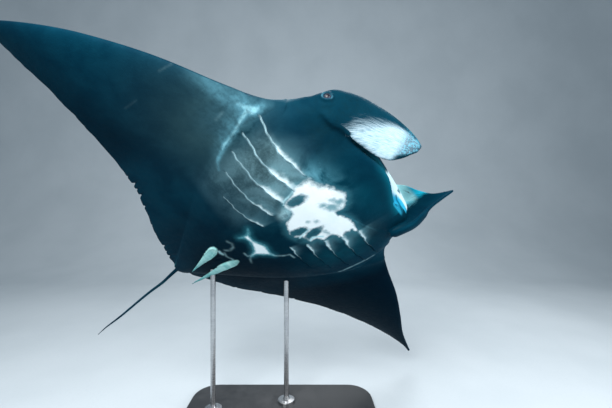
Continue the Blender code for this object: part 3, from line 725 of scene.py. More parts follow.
# the white star nearer the tail, round its edge
STAR = (
    (0.0036, -0.0374), (-0.0026, -0.0263), (-0.0053, -0.0197), (-0.0048, -0.0076),
    (0.0021, 0.0034), (0.0030, 0.0126), (-0.0019, 0.0297), (0.0007, 0.0379),
    (-0.0148, 0.0271), (-0.0273, 0.0211), (-0.0400, 0.0199), (-0.0259, 0.0110),
    (-0.0190, -0.0011), (-0.0156, -0.0138), (-0.0175, -0.0224), (-0.0261, -0.0286),
    (-0.0141, -0.0290), (-0.0057, -0.0307))
# thin pale lines, one of them a painted highlight along the ridge where the left wing bends down:
# points, half breadth, strength
VEINS_AND_RIDGE_HIGHLIGHT = (
    (((-0.0038, 0.0270), (-0.0002, 0.0392), (0.0141, 0.0480), (0.0252, 0.0510),
      (0.0261, 0.0625)), 0.0018, 0.40),
    (((-0.0330, 0.0170), (-0.0385, 0.0182), (-0.0455, 0.0166), (-0.0451, 0.0076)), 0.0020, 0.32),
    (((-0.0385, 0.0182), (-0.0470, 0.0260), (-0.0528, 0.0361)), 0.0020, 0.24),
    (((-0.0514, -0.0305), (-0.0472, -0.0225), (-0.0522, -0.0144), (-0.0644, -0.0109),
      (-0.0729, -0.0148)), 0.0024, 0.22),
    (((-0.0860, -0.0165), (-0.0871, -0.0132), (-0.0850, -0.0085)), 0.0030, 0.70),
    (((-0.0790, -0.0100), (-0.0830, 0.0000), (-0.0780, 0.0120)), 0.0022, 0.26),
    (((0.0660, 0.0235), (0.0780, 0.0190), (0.0898, 0.0151)), 0.0014, 0.9),
    (((0.0770, 0.0385), (0.0847, 0.0345), (0.0940, 0.0385), (0.1000, 0.0425)), 0.0020, 1.0),
    (((0.0860, -0.0480), (0.0900, -0.0540), (0.1010, -0.0560), (0.1120, -0.0600)), 0.0016, 0.8),
    # painted highlight along the ridge where the left wing bends down
    (((0.0600, 0.1600), (0.0900, 0.1600), (0.1170, 0.1610), (0.1350, 0.1630)), 0.0022, 0.35),
    (((0.0735, -0.0310), (0.0815, -0.0345)), 0.0090, 0.66),
    (((0.0800, -0.2932), (0.0952, -0.2898)), 0.0014, 0.04),
    (((0.0860, -0.2070), (0.0990, -0.2090)), 0.0022, 0.09),
    (((0.0000, -0.2866), (0.0250, -0.2857)), 0.0012, 0.03))
# the pale streaks over the right shoulder: points, half breadth at each, strength at each
SHOULDER = (
    (((0.1010, -0.2700), (0.1074, -0.2535), (0.1139, -0.2349), (0.1186, -0.2152),
      (0.1251, -0.1988), (0.1346, -0.1827), (0.1472, -0.1780), (0.1600, -0.1690)),
     (0.0095, 0.0100, 0.0100, 0.0095, 0.0085, 0.0070, 0.0050, 0.0035),
     (0.08, 0.24, 0.40, 0.52, 0.70, 1.00, 0.50, 0.0)),
    (((0.1310, -0.1840), (0.1273, -0.1899), (0.1125, -0.1855), (0.0999, -0.1794),
      (0.0835, -0.1737), (0.0676, -0.1697), (0.0547, -0.1618), (0.0433, -0.1562),
      (0.0349, -0.1432)),
     (0.0075, 0.0068, 0.0058, 0.0052, 0.0050, 0.0046, 0.0038, 0.0032, 0.0026),
     (1.00, 0.86, 0.78, 0.78, 0.74, 0.88, 0.66, 0.56, 0.40)),
    (((0.1204, -0.1905), (0.0951, -0.1850), (0.0666, -0.1760), (0.0450, -0.1660)),
     (0.0120, 0.0120, 0.0110, 0.0080), (0.34, 0.34, 0.30, 0.12)))


def lobe(p, at, half_length, half_breadth, turn):
    """Signed depth inside an ellipse on the belly, in disc widths."""
    a = math.radians(turn)
    dx, dy = p[:, 0] - at[0], p[:, 1] - at[1]
    u = (dx * math.cos(a) + dy * math.sin(a)) / half_length
    w = (-dx * math.sin(a) + dy * math.cos(a)) / half_breadth
    return (1 - np.sqrt(u * u + w * w)) * min(half_length, half_breadth)


def lobes(p, table, k):
    """Signed depth inside a table's ellipses, run together by fillets of size k."""
    f = np.full(len(p), -0.05)
    for x, y, a, b, turn in table:
        f = swell(f, lobe(p, (x, y), a, b, turn), k)
    return f


def along(p, points):
    """For each stretch of a line on the belly: the share along it and the gap to it."""
    at = np.array(points, float)
    for i, (a, b) in enumerate(zip(at, at[1:])):
        ab = b - a
        t = np.clip(((p[:, :2] - a) @ ab) / (ab @ ab), 0, 1)
        yield i, t, np.hypot(*(p[:, :2] - a - t[:, None] * ab).T)


def glow(p, points, breadths, strengths):
    """A soft streak, strongest on its line."""
    light = np.zeros(len(p))
    for i, t, gap in along(p, points):
        breadth = breadths[i] + (breadths[i + 1] - breadths[i]) * t
        light = np.maximum(light, (strengths[i] + (strengths[i + 1] - strengths[i]) * t)
                           * bell(gap, breadth))
    return light


def rounded(points, steps=4):
    """A closed outline through points, with its corners rounded."""
    at = np.array(points, float)
    t = np.linspace(0, 1, steps, endpoint=False)[:, None]
    out = []
    for i in range(len(at)):
        a, b, c, d = (at[(i + k) % len(at)] for k in (-1, 0, 1, 2))
        out.append(0.5 * (2 * b + (c - a) * t + (2 * a - 5 * b + 4 * c - d) * t * t
                          + (3 * b - a - 3 * c + d) * t ** 3))
    return np.vstack(out)


def inside_outline(p, points):
    """Signed depth inside a closed outline on the belly, in disc widths."""
    at = rounded(points)
    at = np.vstack([at, at[:1]])
    gap, odd = np.full(len(p), 1.0), np.zeros(len(p), bool)
    for _, _, d in along(p, at):
        gap = np.minimum(gap, d)
    x, y = p[:, 0], p[:, 1]
    for (xa, ya), (xb, yb) in zip(at, at[1:]):
        if ya != yb:
            odd ^= ((ya > y) != (yb > y)) & (x < (xb - xa) * (y - ya) / (yb - ya) + xa)
    return np.where(odd, gap, -gap)


# how light the skin between the gills is, by x
GILL_LIGHT = curve(((-0.03, 0.0), (0.005, 0.22), (0.035, 0.42), (0.060, 0.62), (0.085, 0.92),
                    (0.115, 1.0), (0.135, 0.85), (0.150, 0.45), (0.175, 0.0)))


def paint_belly(me, p, belly):
    """The blaze, the star, the veins with a painted highlight on the left wing's ridge, and the streaks
    over the shoulder.
    """
    x, y = p[:, 0], p[:, 1]
    where = (belly > 0.5) & (x > -0.11) & (x < 0.19) & (np.abs(y) < 0.31)
    q = p[where]
    white = inside_outline(q, BLAZE)
    white = np.minimum(white, -lobes(q, DARK_LOBES, 0.003))
    vein = np.zeros(len(q))
    for points, breadth, strength in VEINS_AND_RIDGE_HIGHLIGHT:
        vein = np.maximum(vein, glow(q, points, [breadth] * len(points),
                                     [strength] * len(points)))
    band = np.zeros(len(q))
    for points, breadths, strengths in SHOULDER:
        band = np.maximum(band, glow(q, points, breadths, strengths))
    band += 0.20 * bell(q[:, 0] - 0.100, 0.040) * bell(q[:, 1] + 0.205, 0.035)
    star = inside_outline(q, STAR)
    for name, values, rest in (("white", white * DISC_WIDTH, -0.2),
                               ("star", star * DISC_WIDTH, -0.2),
                               ("veil", lobes(q, VEIL_LOBES, 0.002) * DISC_WIDTH, -0.2),
                               ("vein", vein, 0.0), ("band", np.clip(band, 0, 1), 0.0)):
        whole = np.full(len(p), rest)
        whole[where] = values
        put(me, name, whole)


def lip_line(p):
    """How far forward the jaws' front edge lies, for the lower jaw and the upper one."""
    sweep = JAW_SWEEP * ease(np.abs(p[:, 1]) / JAW_SIDE)
    return TRUNK_FRONT - np.where(p[:, 2] < MOUTH_LEVEL, sweep, UPPER_JAW)


def paint_gills(me, p, belly):
    """The pale rims of the gill flaps, a painted highlight along each slit, and the light and dark of
    the skin between them.
    """
    x, y, z = p.T
    flare, line, haze = (np.zeros(len(p)) for _ in range(3))
    for side in (-1, 1):
        for i in range(SLIT_COUNT):
            t, d, length = slit_place(p, side, i)
            e = ends(t, length, 0.006) * belly * (y * side > 0)
            ahead = np.clip(d, 0, None)
            if side < 0:
                power = (0.70, 1.0, 0.95, 0.66, 0.55)[i]
                broad = bell(t - (0.36, 0.22, 0.20, 0.20, 0.12)[i], 0.26) + 0.25 * bell(t, 0.20)
                reach = mm(3.0) + mm(33.0) * power * np.clip(broad, 0, 1)
                gain = power * np.clip(broad * 1.3, 0.0, 1.0)
                thin = np.clip(1.05 - 0.30 * t, 0.3, 1) * (0.90, 1.0, 0.95, 0.88, 0.78)[i]
            else:
                power = (0.95, 1.0, 0.95, 0.85, 0.60)[i]
                fall = np.clip(1 - t / 0.48, 0, 1)
                reach = mm(3.0) + mm(22.0) * power * fall
                gain = power * ease(fall * 1.6)
                thin = np.clip(1.1 - 1.5 * t, 0.12, 1)
            on = ease((d + mm(2.5)) / mm(3.5))
            flare = np.maximum(flare, e * on * np.exp(-(ahead / reach) ** 1.3) * gain)
            haze = np.maximum(haze, e * on * np.exp(-ahead / (reach * 1.7 + mm(5))) * gain)
            # painted highlight: the pale line along each slit is light caught on the flap's edge
            line = np.maximum(line, e * bell(d + mm(0.5), mm(6.5)) * thin)
    put(me, "flare", flare)
    put(me, "haze", haze)
    put(me, "slit_line", line)
    side = np.abs(y)
    right = ease((side - 0.030) / 0.040) * ease((0.172 - side) / 0.045) * (y < 0)
    left = ease((side - 0.050) / 0.030) * ease((0.150 - side) / 0.060) * (y > 0)
    first_gap = slit_place(p, -1, 0)[1]
    right *= ease((0.010 - first_gap) / 0.014)
    put(me, "gill_right", GILL_LIGHT(x) * right * belly)
    put(me, "gill_left", GILL_LIGHT(x - 0.015) * left * belly)
    smoke = (bell(x - 0.148, 0.018) * bell(y + 0.060, 0.030)
             + 0.40 * bell(x - 0.170, 0.018) * bell(y + 0.045, 0.030)
             + 0.22 * bell(x - 0.186, 0.018) * bell(y + 0.015, 0.040)
             + 0.20 * bell(x - 0.05, 0.05) * bell(y + 0.045, 0.040))
    put(me, "smoke", np.clip(smoke, 0, 1) * belly)
    rim = bell(x - lip_line(p), 0.010) + 0.22 * bell(x - 0.200, 0.022) * bell(y - 0.020, 0.050)
    rim = np.clip(rim, 0, 1) * ease((y + 0.030) / 0.035) * (y < 0.085)
    put(me, "jaw_rim", rim * (z < -0.03) * belly)
    shade = (bell(x - 0.101, 0.030) * bell(y + 0.168, 0.009)
             + 0.7 * ease((x - 0.165) / 0.02) * bell(y + 0.110, 0.040))
    put(me, "shade", np.clip(shade, 0, 1) * belly)
    # partly the paler skin over the right shoulder and partly painted light where the shoulder faces
    # the light
    wash = bell(x - 0.070, 0.075) * bell(y + 0.205, 0.075)
    put(me, "wash", np.clip(1.2 * wash, 0, 1) * belly)


def fin_zones(p, n):
    """Places on the right and the left cephalic fin, and how far points belong to each."""
    x, y = p[:, 0], p[:, 1]
    right, left = (fin_place(p, n, fin, side) for fin, side in ((RIGHT_FIN, -1), (LEFT_FIN, 1)))
    # behind the lips, only what lies well out to the side belongs to the right fin
    free = (x > lip_line(p)) | (np.abs(y) > 0.084)
    on_right, on_left = (place[3] * ease((place[0] - 0.02) / 0.05) * (x > HEAD_START)
                         for place in (right, left))
    return right[:3], left[:3], on_right * (y < 0.03) * free, on_left * (y > 0.06)


def right_fin_white(s, w, out):
    """How white the spread right fin is, by length, breadth and face; 0 is the edge."""
    first = curve(((0, 0.93), (0.13, 0.78), (0.36, 0.42), (0.65, -0.03), (0.84, -0.34),
                   (1, -0.45)))
    full = curve(((0, 1.05), (0.13, 0.93), (0.22, 0.88), (0.36, 0.71), (0.65, 0.17),
                  (0.84, -0.15), (1, -0.30)))
    outer = -0.28 + 0.34 * (w - first(s)) / (full(s) - first(s))
    outer = outer - 0.38 * ease((0.32 - s) / 0.26)
    outer = outer - 0.9 * ease((w - 0.87) / 0.05) * ease((0.28 - s) / 0.06)
    outer = np.minimum(np.minimum(outer, (0.96 - s) * 3.0), (0.98 - w) * 2.5)
    inner = np.minimum(np.minimum((0.50 - s) * 1.6, 0.9 - w), (s - 0.30) * 3)
    return np.where(out > 0.0, outer, inner)


def left_fin_white(s, w, out):
    """How white the rolled left fin is: its inner face, but for a dark arc across it, painted shade
    where it folds.
    """
    bound = curve(((0, -0.08), (0.25, -0.18), (0.34, -0.28), (0.44, -0.34), (0.55, -0.50),
                   (0.62, -0.64), (0.70, -0.80), (0.80, -1.0)))
    white = np.where((out < 0.2) | (w < -0.55), (bound(s) - w) * 3.0, -0.4)
    arc = -0.665 + 12 * (s - 0.425) ** 2
    # painted shade along the fold across the inner face
    fold_shade = bell(w - arc, 0.045) * ease((0.085 - np.abs(s - 0.425)) / 0.02)
    return white - 0.8 * fold_shade * (out < 0.2)


def paint_fins(me, right, left, zone_right, zone_left):
    """The white, cyan and dark faces of the cephalic fins.  Gives each point's place on its
    fin, and which fin that is."""
    on_left = zone_left > zone_right
    blade = np.where(on_left[:, None], np.stack(left, 1), np.stack(right, 1))
    put(me, "fin", blade, "FLOAT_VECTOR")
    s, w, out = right
    put(me, "fin_tip", ease((s - 0.77) / 0.12) * (out > 0) * zone_right * (1 - on_left))
    rim = ease((w - 0.74) / 0.10) * ease((s - 0.80) / 0.08) + ease((s - 0.985) / 0.01)
    put(me, "fin_rim", np.clip(rim, 0, 1) * zone_right * (1 - on_left))
    s, w, _ = left
    # painted light: cyan where light shines through the thin left fin
    middle = 0.55 * ease((w + 0.64) / 0.08) * ease((0.34 + w) / 0.06 + 1)
    put(me, "fin_cyan", np.maximum(ease((s - 0.50) / 0.07), middle) * zone_left * on_left)
    put(me, "fin_left", zone_left * on_left)
    zone = np.maximum(zone_left, zone_right)
    white = np.where(on_left, left_fin_white(*left), right_fin_white(*right))
    put(me, "fin_white", np.where(zone > 0.3, white, -1.0))
    return blade, np.where(zone > 0.5, np.where(on_left, 2, 1), 0)


def paint_mouth(me, p, n, off_fins):
    """The inside of the mouth darkened as painted shade, and its white and blue left side with painted
    shade in the creases there.
    """
    x, y, z = p.T
    above = z - MOUTH_LEVEL
    into_mouth = ease(-(n[:, 2] * np.sign(above)) / 0.4)
    side = np.where(y > 0, MOUTH_SIDE, MOUTH_SIDE_RIGHT)
    # painted shade: the inside of the open mouth is darkened, but for its white and blue left side
    mouth = (into_mouth * ease((MOUTH_GAP - np.abs(above)) / 0.004) * (x > MOUTH_BACK)
             * (x < MOUTH_FRONT) * ease((side - np.abs(y)) / 0.006))
    upper_lip = ease((x - 0.2290) / 0.002) * ease((y - 0.026) / 0.008) * (z > -0.014)
    upper_lip *= ease((0.014 - z) / 0.004)
    corner = ease((x - 0.2215) / 0.002) * (y > 0.058) * (z > -0.040) * (z < -0.013)
    corner = 0.5 * corner * ease((0.100 - y) / 0.010) * (n[:, 0] > 0.25)
    lips = np.maximum(upper_lip, corner) * (y < 0.110) * off_fins
    put(me, "mouth", np.maximum(mouth, lips))
    put(me, "mouth_left", ease((y - 0.008) / 0.035))
    put(me, "mouth_white", ease((z + 0.0125) / 0.004))
    # painted shade along the creases at the mouth's left corner
    thin, full = (0.0014,) * 4, (1.0,) * 4
    crease = glow(p, ((0.2295, 0.0700), (0.2270, 0.0780), (0.2275, 0.0860), (0.2265, 0.0940)),
                  thin, full)
    bow = glow(p, ((0.2345, 0.0665), (0.2360, 0.0710), (0.2368, 0.0770)), thin, full)
    crease *= (z > -0.035) * (z < -0.006)
    put(me, "mouth_crease", np.maximum(crease, bow * (z > -0.006) * (z < 0.012)))


def paint_lids(me, p):
    """The paler skin inside the lids."""
    lids = np.zeros(len(p))
    for side in (1, -1):
        out, r, _ = around_eye(p, side)
        r = r / EYE_RADIUS
        lids = np.maximum(lids, (out > -0.9 * EYE_RADIUS) * ease((1.16 - r) / 0.26) * (r < 2))
    put(me, "lids", lids)


def paint_pelvic_fins(me, p):
    """The pelvic fins, which stand off the belly, and the way along them.  Gives where they
    are."""
    x, y, z = p.T
    v, c = disc_share(p)
    surface = swell(wing_half_depth(v, c), trunk_height(p, -1), FILLET)
    pelvic = ease((-z - surface - mm(1.5)) / mm(4)) * bell(x + 0.15, 0.09) * (np.abs(y) < 0.07)
    put(me, "pelvic", np.clip(pelvic * 1.3, 0, 1))
    put(me, "pelvic_way", np.clip((-0.09 - x) / 0.13, 0, 1))
    return pelvic > 0.4


def paint(me, p, n):
    """Stores where the skin's markings and its painted light and shade lie, for its material.
    Gives each point's place on its cephalic fin, which fin that is, and where the pelvic
    fins are, for the bake map."""
    x, y = p[:, 0], p[:, 1]
    belly = ease((0.15 - n[:, 2]) / 0.3)
    paint_belly(me, p, belly)
    paint_gills(me, p, belly)
    right, left, zone_right, zone_left = fin_zones(p, n)
    blade, fin = paint_fins(me, right, left, zone_right, zone_left)
    paint_mouth(me, p, n, 1 - np.maximum(zone_left, zone_right))
    paint_lids(me, p)
    pelvic = paint_pelvic_fins(me, p)
    back = (bell(x - 0.165, 0.030) * bell(np.abs(y) - 0.115, 0.050)
            + 0.8 * bell(x - 0.120, 0.035) * bell(np.abs(y) - 0.185, 0.040))
    put(me, "shoulder_patch", np.clip(back, 0, 1) * (1 - belly))
    # painted shade: the lower belly, the left wing, the left side of the throat and the back of the
    # right wing are darkened where they turn from the light
    under = (bell(x + 0.10, 0.15) * bell(y - 0.05, 0.20) + ease((y - 0.16) / 0.08)
             + 0.6 * bell(x - 0.168, 0.026) * bell(y - 0.088, 0.026)
             + 0.7 * ease((0.02 - x) / 0.10) * ease((-y - 0.20) / 0.08))
    put(me, "deep_tone", np.clip(under, 0, 1) * belly)
    return blade, fin, pelvic


# ------------------------------------------------------------------ the map for baking
# the islands' places on the map, and their scales from disc widths, 1 where none is given
SHEET_SCALE = 0.52
BACK_AT, BELLY_AT = (0.010, 0.010), (0.010, 0.500)
# right (1) and left (2) cephalic fin, outer (True) and inner face
BLADE_AT = {(1, True): (0.56, 0.02), (1, False): (0.56, 0.22), (2, True): (0.56, 0.42),
            (2, False): (0.56, 0.62)}
BLADE_SIZE = (0.30, 0.18)
ROOF_AT, MOUTH_FLOOR_AT, MOUTH_SCALE = (0.56, 0.82), (0.56, 0.91), 1.2
PELVIC_UNDER_AT, PELVIC_OVER_AT = (0.875, 0.02), (0.875, 0.22)
DORSAL_LEFT_AT, DORSAL_RIGHT_AT = (0.875, 0.42), (0.875, 0.50)


def lay_out(me, p, n, blade, fin, pelvic):
    """The map for baking: back and belly as flat sheets, and what folds over them apart."""
    corner = np.empty(len(me.loops), np.int32)
    me.loops.foreach_get("vertex_index", corner)
    count = np.empty(len(me.polygons), np.int32)
    me.polygons.foreach_get("loop_total", count)
    first = np.concatenate([[0], np.cumsum(count)[:-1]])
    face = np.repeat(np.arange(len(count)), count)
    uv = np.empty((len(corner), 2))

    def mean(values):
        """A value for each corner: the mean over its face."""
        return (np.add.reduceat(values[corner].astype(float), first) / count)[face]

    def island(mask, at, across, along):
        uv[mask] = np.stack([at[0] + across, at[1] + along], 1)[mask]

    x, y, z = p[corner].T
    up = mean(n[:, 2]) >= 0
    for mask, at in ((up, BACK_AT), (~up, BELLY_AT)):
        island(mask, at, SHEET_SCALE * (y + 0.5), SHEET_SCALE * (x + 0.61))
    level = mean(p[:, 2]) - MOUTH_LEVEL
    mouth = (mean(p[:, 0]) > MOUTH_BACK) & (np.abs(level) < MOUTH_GAP) & (np.abs(y) < MOUTH_SIDE)
    roof, floor = mouth & ~up & (level > 0), mouth & up & (level < 0)
    for mask, at in ((roof, ROOF_AT), (floor, MOUTH_FLOOR_AT)):
        island(mask, at, MOUTH_SCALE * (y + 0.115), MOUTH_SCALE * (x - 0.18))
    on_pelvic = mean(pelvic) > 0.5
    for mask, at in ((~up, PELVIC_UNDER_AT), (up, PELVIC_OVER_AT)):
        island(mask & on_pelvic, at, y + 0.055, x + 0.24)
    dorsal = (mean(p[:, 2]) > 0.030) & (mean(p[:, 0]) < -0.13) & (np.abs(y) < 0.010)
    faces_left = mean(n[:, 1]) > 0
    for mask, at in ((faces_left, DORSAL_LEFT_AT), (~faces_left, DORSAL_RIGHT_AT)):
        island(mask & dorsal, at, x + 0.25, z)
    s, w = blade[corner, 0], blade[corner, 1]
    outer, past_root = mean(blade[:, 2]) > 0, mean(blade[:, 0]) > 0.03
    for (which, face_out), at in BLADE_AT.items():
        mask = (mean(fin == which) > 0.99) & past_root & (outer == face_out)
        island(mask, at, BLADE_SIZE[0] * s, BLADE_SIZE[1] * (w + BREADTH_REACH) / (2 * BREADTH_REACH))
    me.uv_layers.new(name="OFBake").uv.foreach_set("vector", uv.astype(np.float32).ravel())


# ------------------------------------------------------------------ settings
def colour_setting(name, description, default):
    return bpy.props.FloatVectorProperty(name=name, description=description, default=default,
                                         size=3, min=0.0, max=1.0, subtype="COLOR")


def power_setting(name, description, default):
    return bpy.props.FloatProperty(name=name, description=description, default=default, min=0.0,
                                   unit="POWER")


class MANTA_PG_skin(bpy.types.PropertyGroup):
    """The skin's grain, relief and colours."""
    grain: bpy.props.FloatProperty(
        name="Grain", description="Edge length of the skin's faces", default=0.0055,
        min=0.004, max=0.02, unit="LENGTH", precision=4)
    slit_depth: bpy.props.FloatProperty(
        name="Slit depth", description="Depth of the groove along each gill slit",
        default=0.0046, min=0.0, max=0.010, unit="LENGTH", precision=4)
    flap_step: bpy.props.FloatProperty(
        name="Flap step", description="Height of each gill flap over the one behind it",
        default=0.0064, min=0.0, max=0.012, unit="LENGTH", precision=4)
    ground: colour_setting("Ground", "Dark skin between the markings", (0.0004, 0.0165, 0.0330))
    ground_light: colour_setting("Ground, lighter", "Paler clouds in the dark skin",
                                 (0.0016, 0.0300, 0.0520))
    # painted shade: this deep tone darkens the lower belly and the wings where they turn from the light
    shade: colour_setting("Painted deep shade", "Darkest skin, under the left wing and the tail",
                          (0.0001, 0.0020, 0.0065))
    gill: colour_setting("Gill skin", "Grey skin between the right gill slits",
                         (0.085, 0.165, 0.190))
    band: colour_setting("Shoulder band", "Pale streaks over the right shoulder",
                         (0.110, 0.300, 0.380))
    blaze: colour_setting("Blaze", "The white patch between the gills", (0.80, 0.88, 0.90))
    fin: colour_setting("Fin white", "White of the spread cephalic fin", (0.40, 0.53, 0.60))
    pelvic: colour_setting("Pelvic fins", "Pale green of the two fins beside the vent",
                           (0.420, 0.720, 0.700))


class MANTA_PG_eyes(bpy.types.PropertyGroup):
    """The eyes' colours."""
    iris: colour_setting("Iris", "Light fibres of the iris", (0.050, 0.075, 0.110))
    white: colour_setting("Ball", "The ball round the iris", (0.080, 0.165, 0.215))


class MANTA_PG_stand(bpy.types.PropertyGroup):
    """The stand's colours."""
    paint: colour_setting("Base paint", "Satin paint of the base", (0.020, 0.022, 0.025))
    steel: colour_setting("Rod steel", "Brushed steel of the rods", (0.50, 0.51, 0.52))


class MANTA_PG_stage(bpy.types.PropertyGroup):
    """The studio's floor, lights and camera."""
    floor: colour_setting("Floor", "Matt floor and backdrop", (0.47, 0.53, 0.57))
    sky: colour_setting("Fill", "Light from all round", (0.62, 0.74, 0.84))
    sky_strength: bpy.props.FloatProperty(name="Fill strength", description="How strong the fill is",
                                          default=0.38, min=0.0, soft_max=2.0)
    key: power_setting("Key light", "Large soft light from the upper left", 440.0)
    side: power_setting("Side light", "Soft light from the right", 170.0)
    rim: power_setting("Rim light", "Soft light from behind", 110.0)
    lens: bpy.props.FloatProperty(name="Lens", description="Focal length on a 36 mm sensor",
                                  default=19.4118, min=5.0, max=200.0, unit="CAMERA")


# ------------------------------------------------------------------ the skin
SMOOTHING, SMOOTHING_ROUNDS = 0.5, 3   # for all of the remeshed forms
ROOT_ROUNDS = 60                       # for the creases at the cephalic fins' roots


def build_skin(sizes):
    """The whole skin, from the flat forms to its place on the stand."""
    me = whole_body(sizes.grain * (1.0))
    p = coordinates(me)
    p = relax(p, edge_array(me), np.full(len(p), SMOOTHING), SMOOTHING_ROUNDS)
    p = settle_heights(p)
    set_coordinates(me, p)
    refined(me, fine_region)
    p = coordinates(me)
    p = relax(p, edge_array(me), fin_roots(p), ROOT_ROUNDS)
    p = carve(p, normals(me), sizes)
    set_coordinates(me, p)
    n = normals(me)
    put(me, "rest", p * DISC_WIDTH, "FLOAT_VECTOR")
    lay_out(me, p, n, *paint(me, p, n))
    set_coordinates(me, on_stand(pose(p)))
    me.shade_smooth()
    return new_object("skin", me)


class Shader:
    """Builds a material's nodes, a call for each."""

    def __init__(self, name):
        self.material = bpy.data.materials.new(name)
        self.material.use_nodes = True
        self.tree = self.material.node_tree
        self.surface = self.tree.nodes["Principled BSDF"]

    def add(self, kind, *values, out=0, **options):
        """A node with its inputs set or linked in their order.  Gives one of its outputs."""
        node = self.tree.nodes.new("ShaderNode" + kind)
        for key, value in options.items():
            setattr(node, key, value)
        for slot, value in enumerate(values):
            if isinstance(value, bpy.types.NodeSocket):
                self.tree.links.new(value, node.inputs[slot])
            else:
                node.inputs[slot].default_value = value
        return node.outputs[out]

    def link(self, socket, name):
        self.tree.links.new(socket, self.surface.inputs[name])

    def set(self, name, value):
        self.surface.inputs[name].default_value = value

    def field(self, name):
        """A number stored on the mesh's points."""
        return self.add("Attribute", attribute_name=name, attribute_type="GEOMETRY", out=2)

    def place(self, name):
        """A place stored on the mesh's points."""
        return self.add("Attribute", attribute_name=name, attribute_type="GEOMETRY", out=1)

    def noise(self, at, scale, detail=3.0, rough=0.55, twist=0.0):
        node = self.tree.nodes.new("ShaderNodeTexNoise")
        self.tree.links.new(at, node.inputs["Vector"])
        for key, value in (("Scale", scale), ("Detail", detail), ("Roughness", rough),
                           ("Distortion", twist)):
            node.inputs[key].default_value = value
        return node.outputs["Fac"]

    def stretch(self, at, scale, turn=(0, 0, 0)):
        node = self.tree.nodes.new("ShaderNodeMapping")
        self.tree.links.new(at, node.inputs["Vector"])
        node.inputs["Scale"].default_value = scale
        node.inputs["Rotation"].default_value = turn
        return node.outputs["Vector"]

    def math(self, how, a, b=0.0, c=0.0):
        return self.add("Math", a, b, c, operation=how)

    def span(self, value, low, high, to_low=0.0, to_high=1.0):
        """Eases from one value to another as a field goes from low to high."""
        return self.add("MapRange", value, low, high, to_low, to_high,
                        interpolation_type="SMOOTHSTEP")

    def split(self, vector):
        node = self.tree.nodes.new("ShaderNodeSeparateXYZ")
        self.tree.links.new(vector, node.inputs[0])
        return node.outputs

    def mix(self, share, a, b):
        """Mixes two colours, which are a mix node's inputs 6 and 7 and its output 2."""
        node = self.tree.nodes.new("ShaderNodeMix")
        node.data_type = "RGBA"
        for slot, value in ((0, share), (6, a), (7, b)):
            if isinstance(value, bpy.types.NodeSocket):
                self.tree.links.new(value, node.inputs[slot])
            elif slot:
                node.inputs[slot].default_value = (*value, 1.0)
            else:
                node.inputs[slot].default_value = value
        return node.outputs[2]

    def bump(self, height, depth):
        node = self.tree.nodes.new("ShaderNodeBump")
        self.tree.links.new(height, node.inputs["Height"])
        node.inputs["Distance"].default_value = depth
        node.inputs["Strength"].default_value = 1.0
        return node.outputs["Normal"]


def skin_textures(s):
    """The skin's shared noises, and two mixes of them: for tones and for soft edges."""
    at = s.place("rest")
    cloud, fleck = s.noise(at, 7.0, 5.0, 0.6, 0.4), s.noise(at, 38.0, 4.0, 0.6)
    broad = s.noise(at, 1.6, 4.0)
    tone = s.math("MULTIPLY_ADD", cloud, 0.55, s.math("MULTIPLY", broad, 0.45))
    soft = s.math("ADD", s.math("MULTIPLY", s.math("SUBTRACT", cloud, 0.5), 0.020),
                  s.math("MULTIPLY", s.math("SUBTRACT", fleck, 0.5), 0.024))
    return SimpleNamespace(
        at=at, cloud=cloud, fleck=fleck, tone=tone, soft=soft,
        mottle=s.noise(at, 90.0, 3.0, 0.6), grain=s.noise(at, 160.0, 2.0),
        flow=s.noise(s.stretch(at, (9.0, 2.2, 1.0), (0, 0, 0.5)), 2.2, 4.0, 0.6))


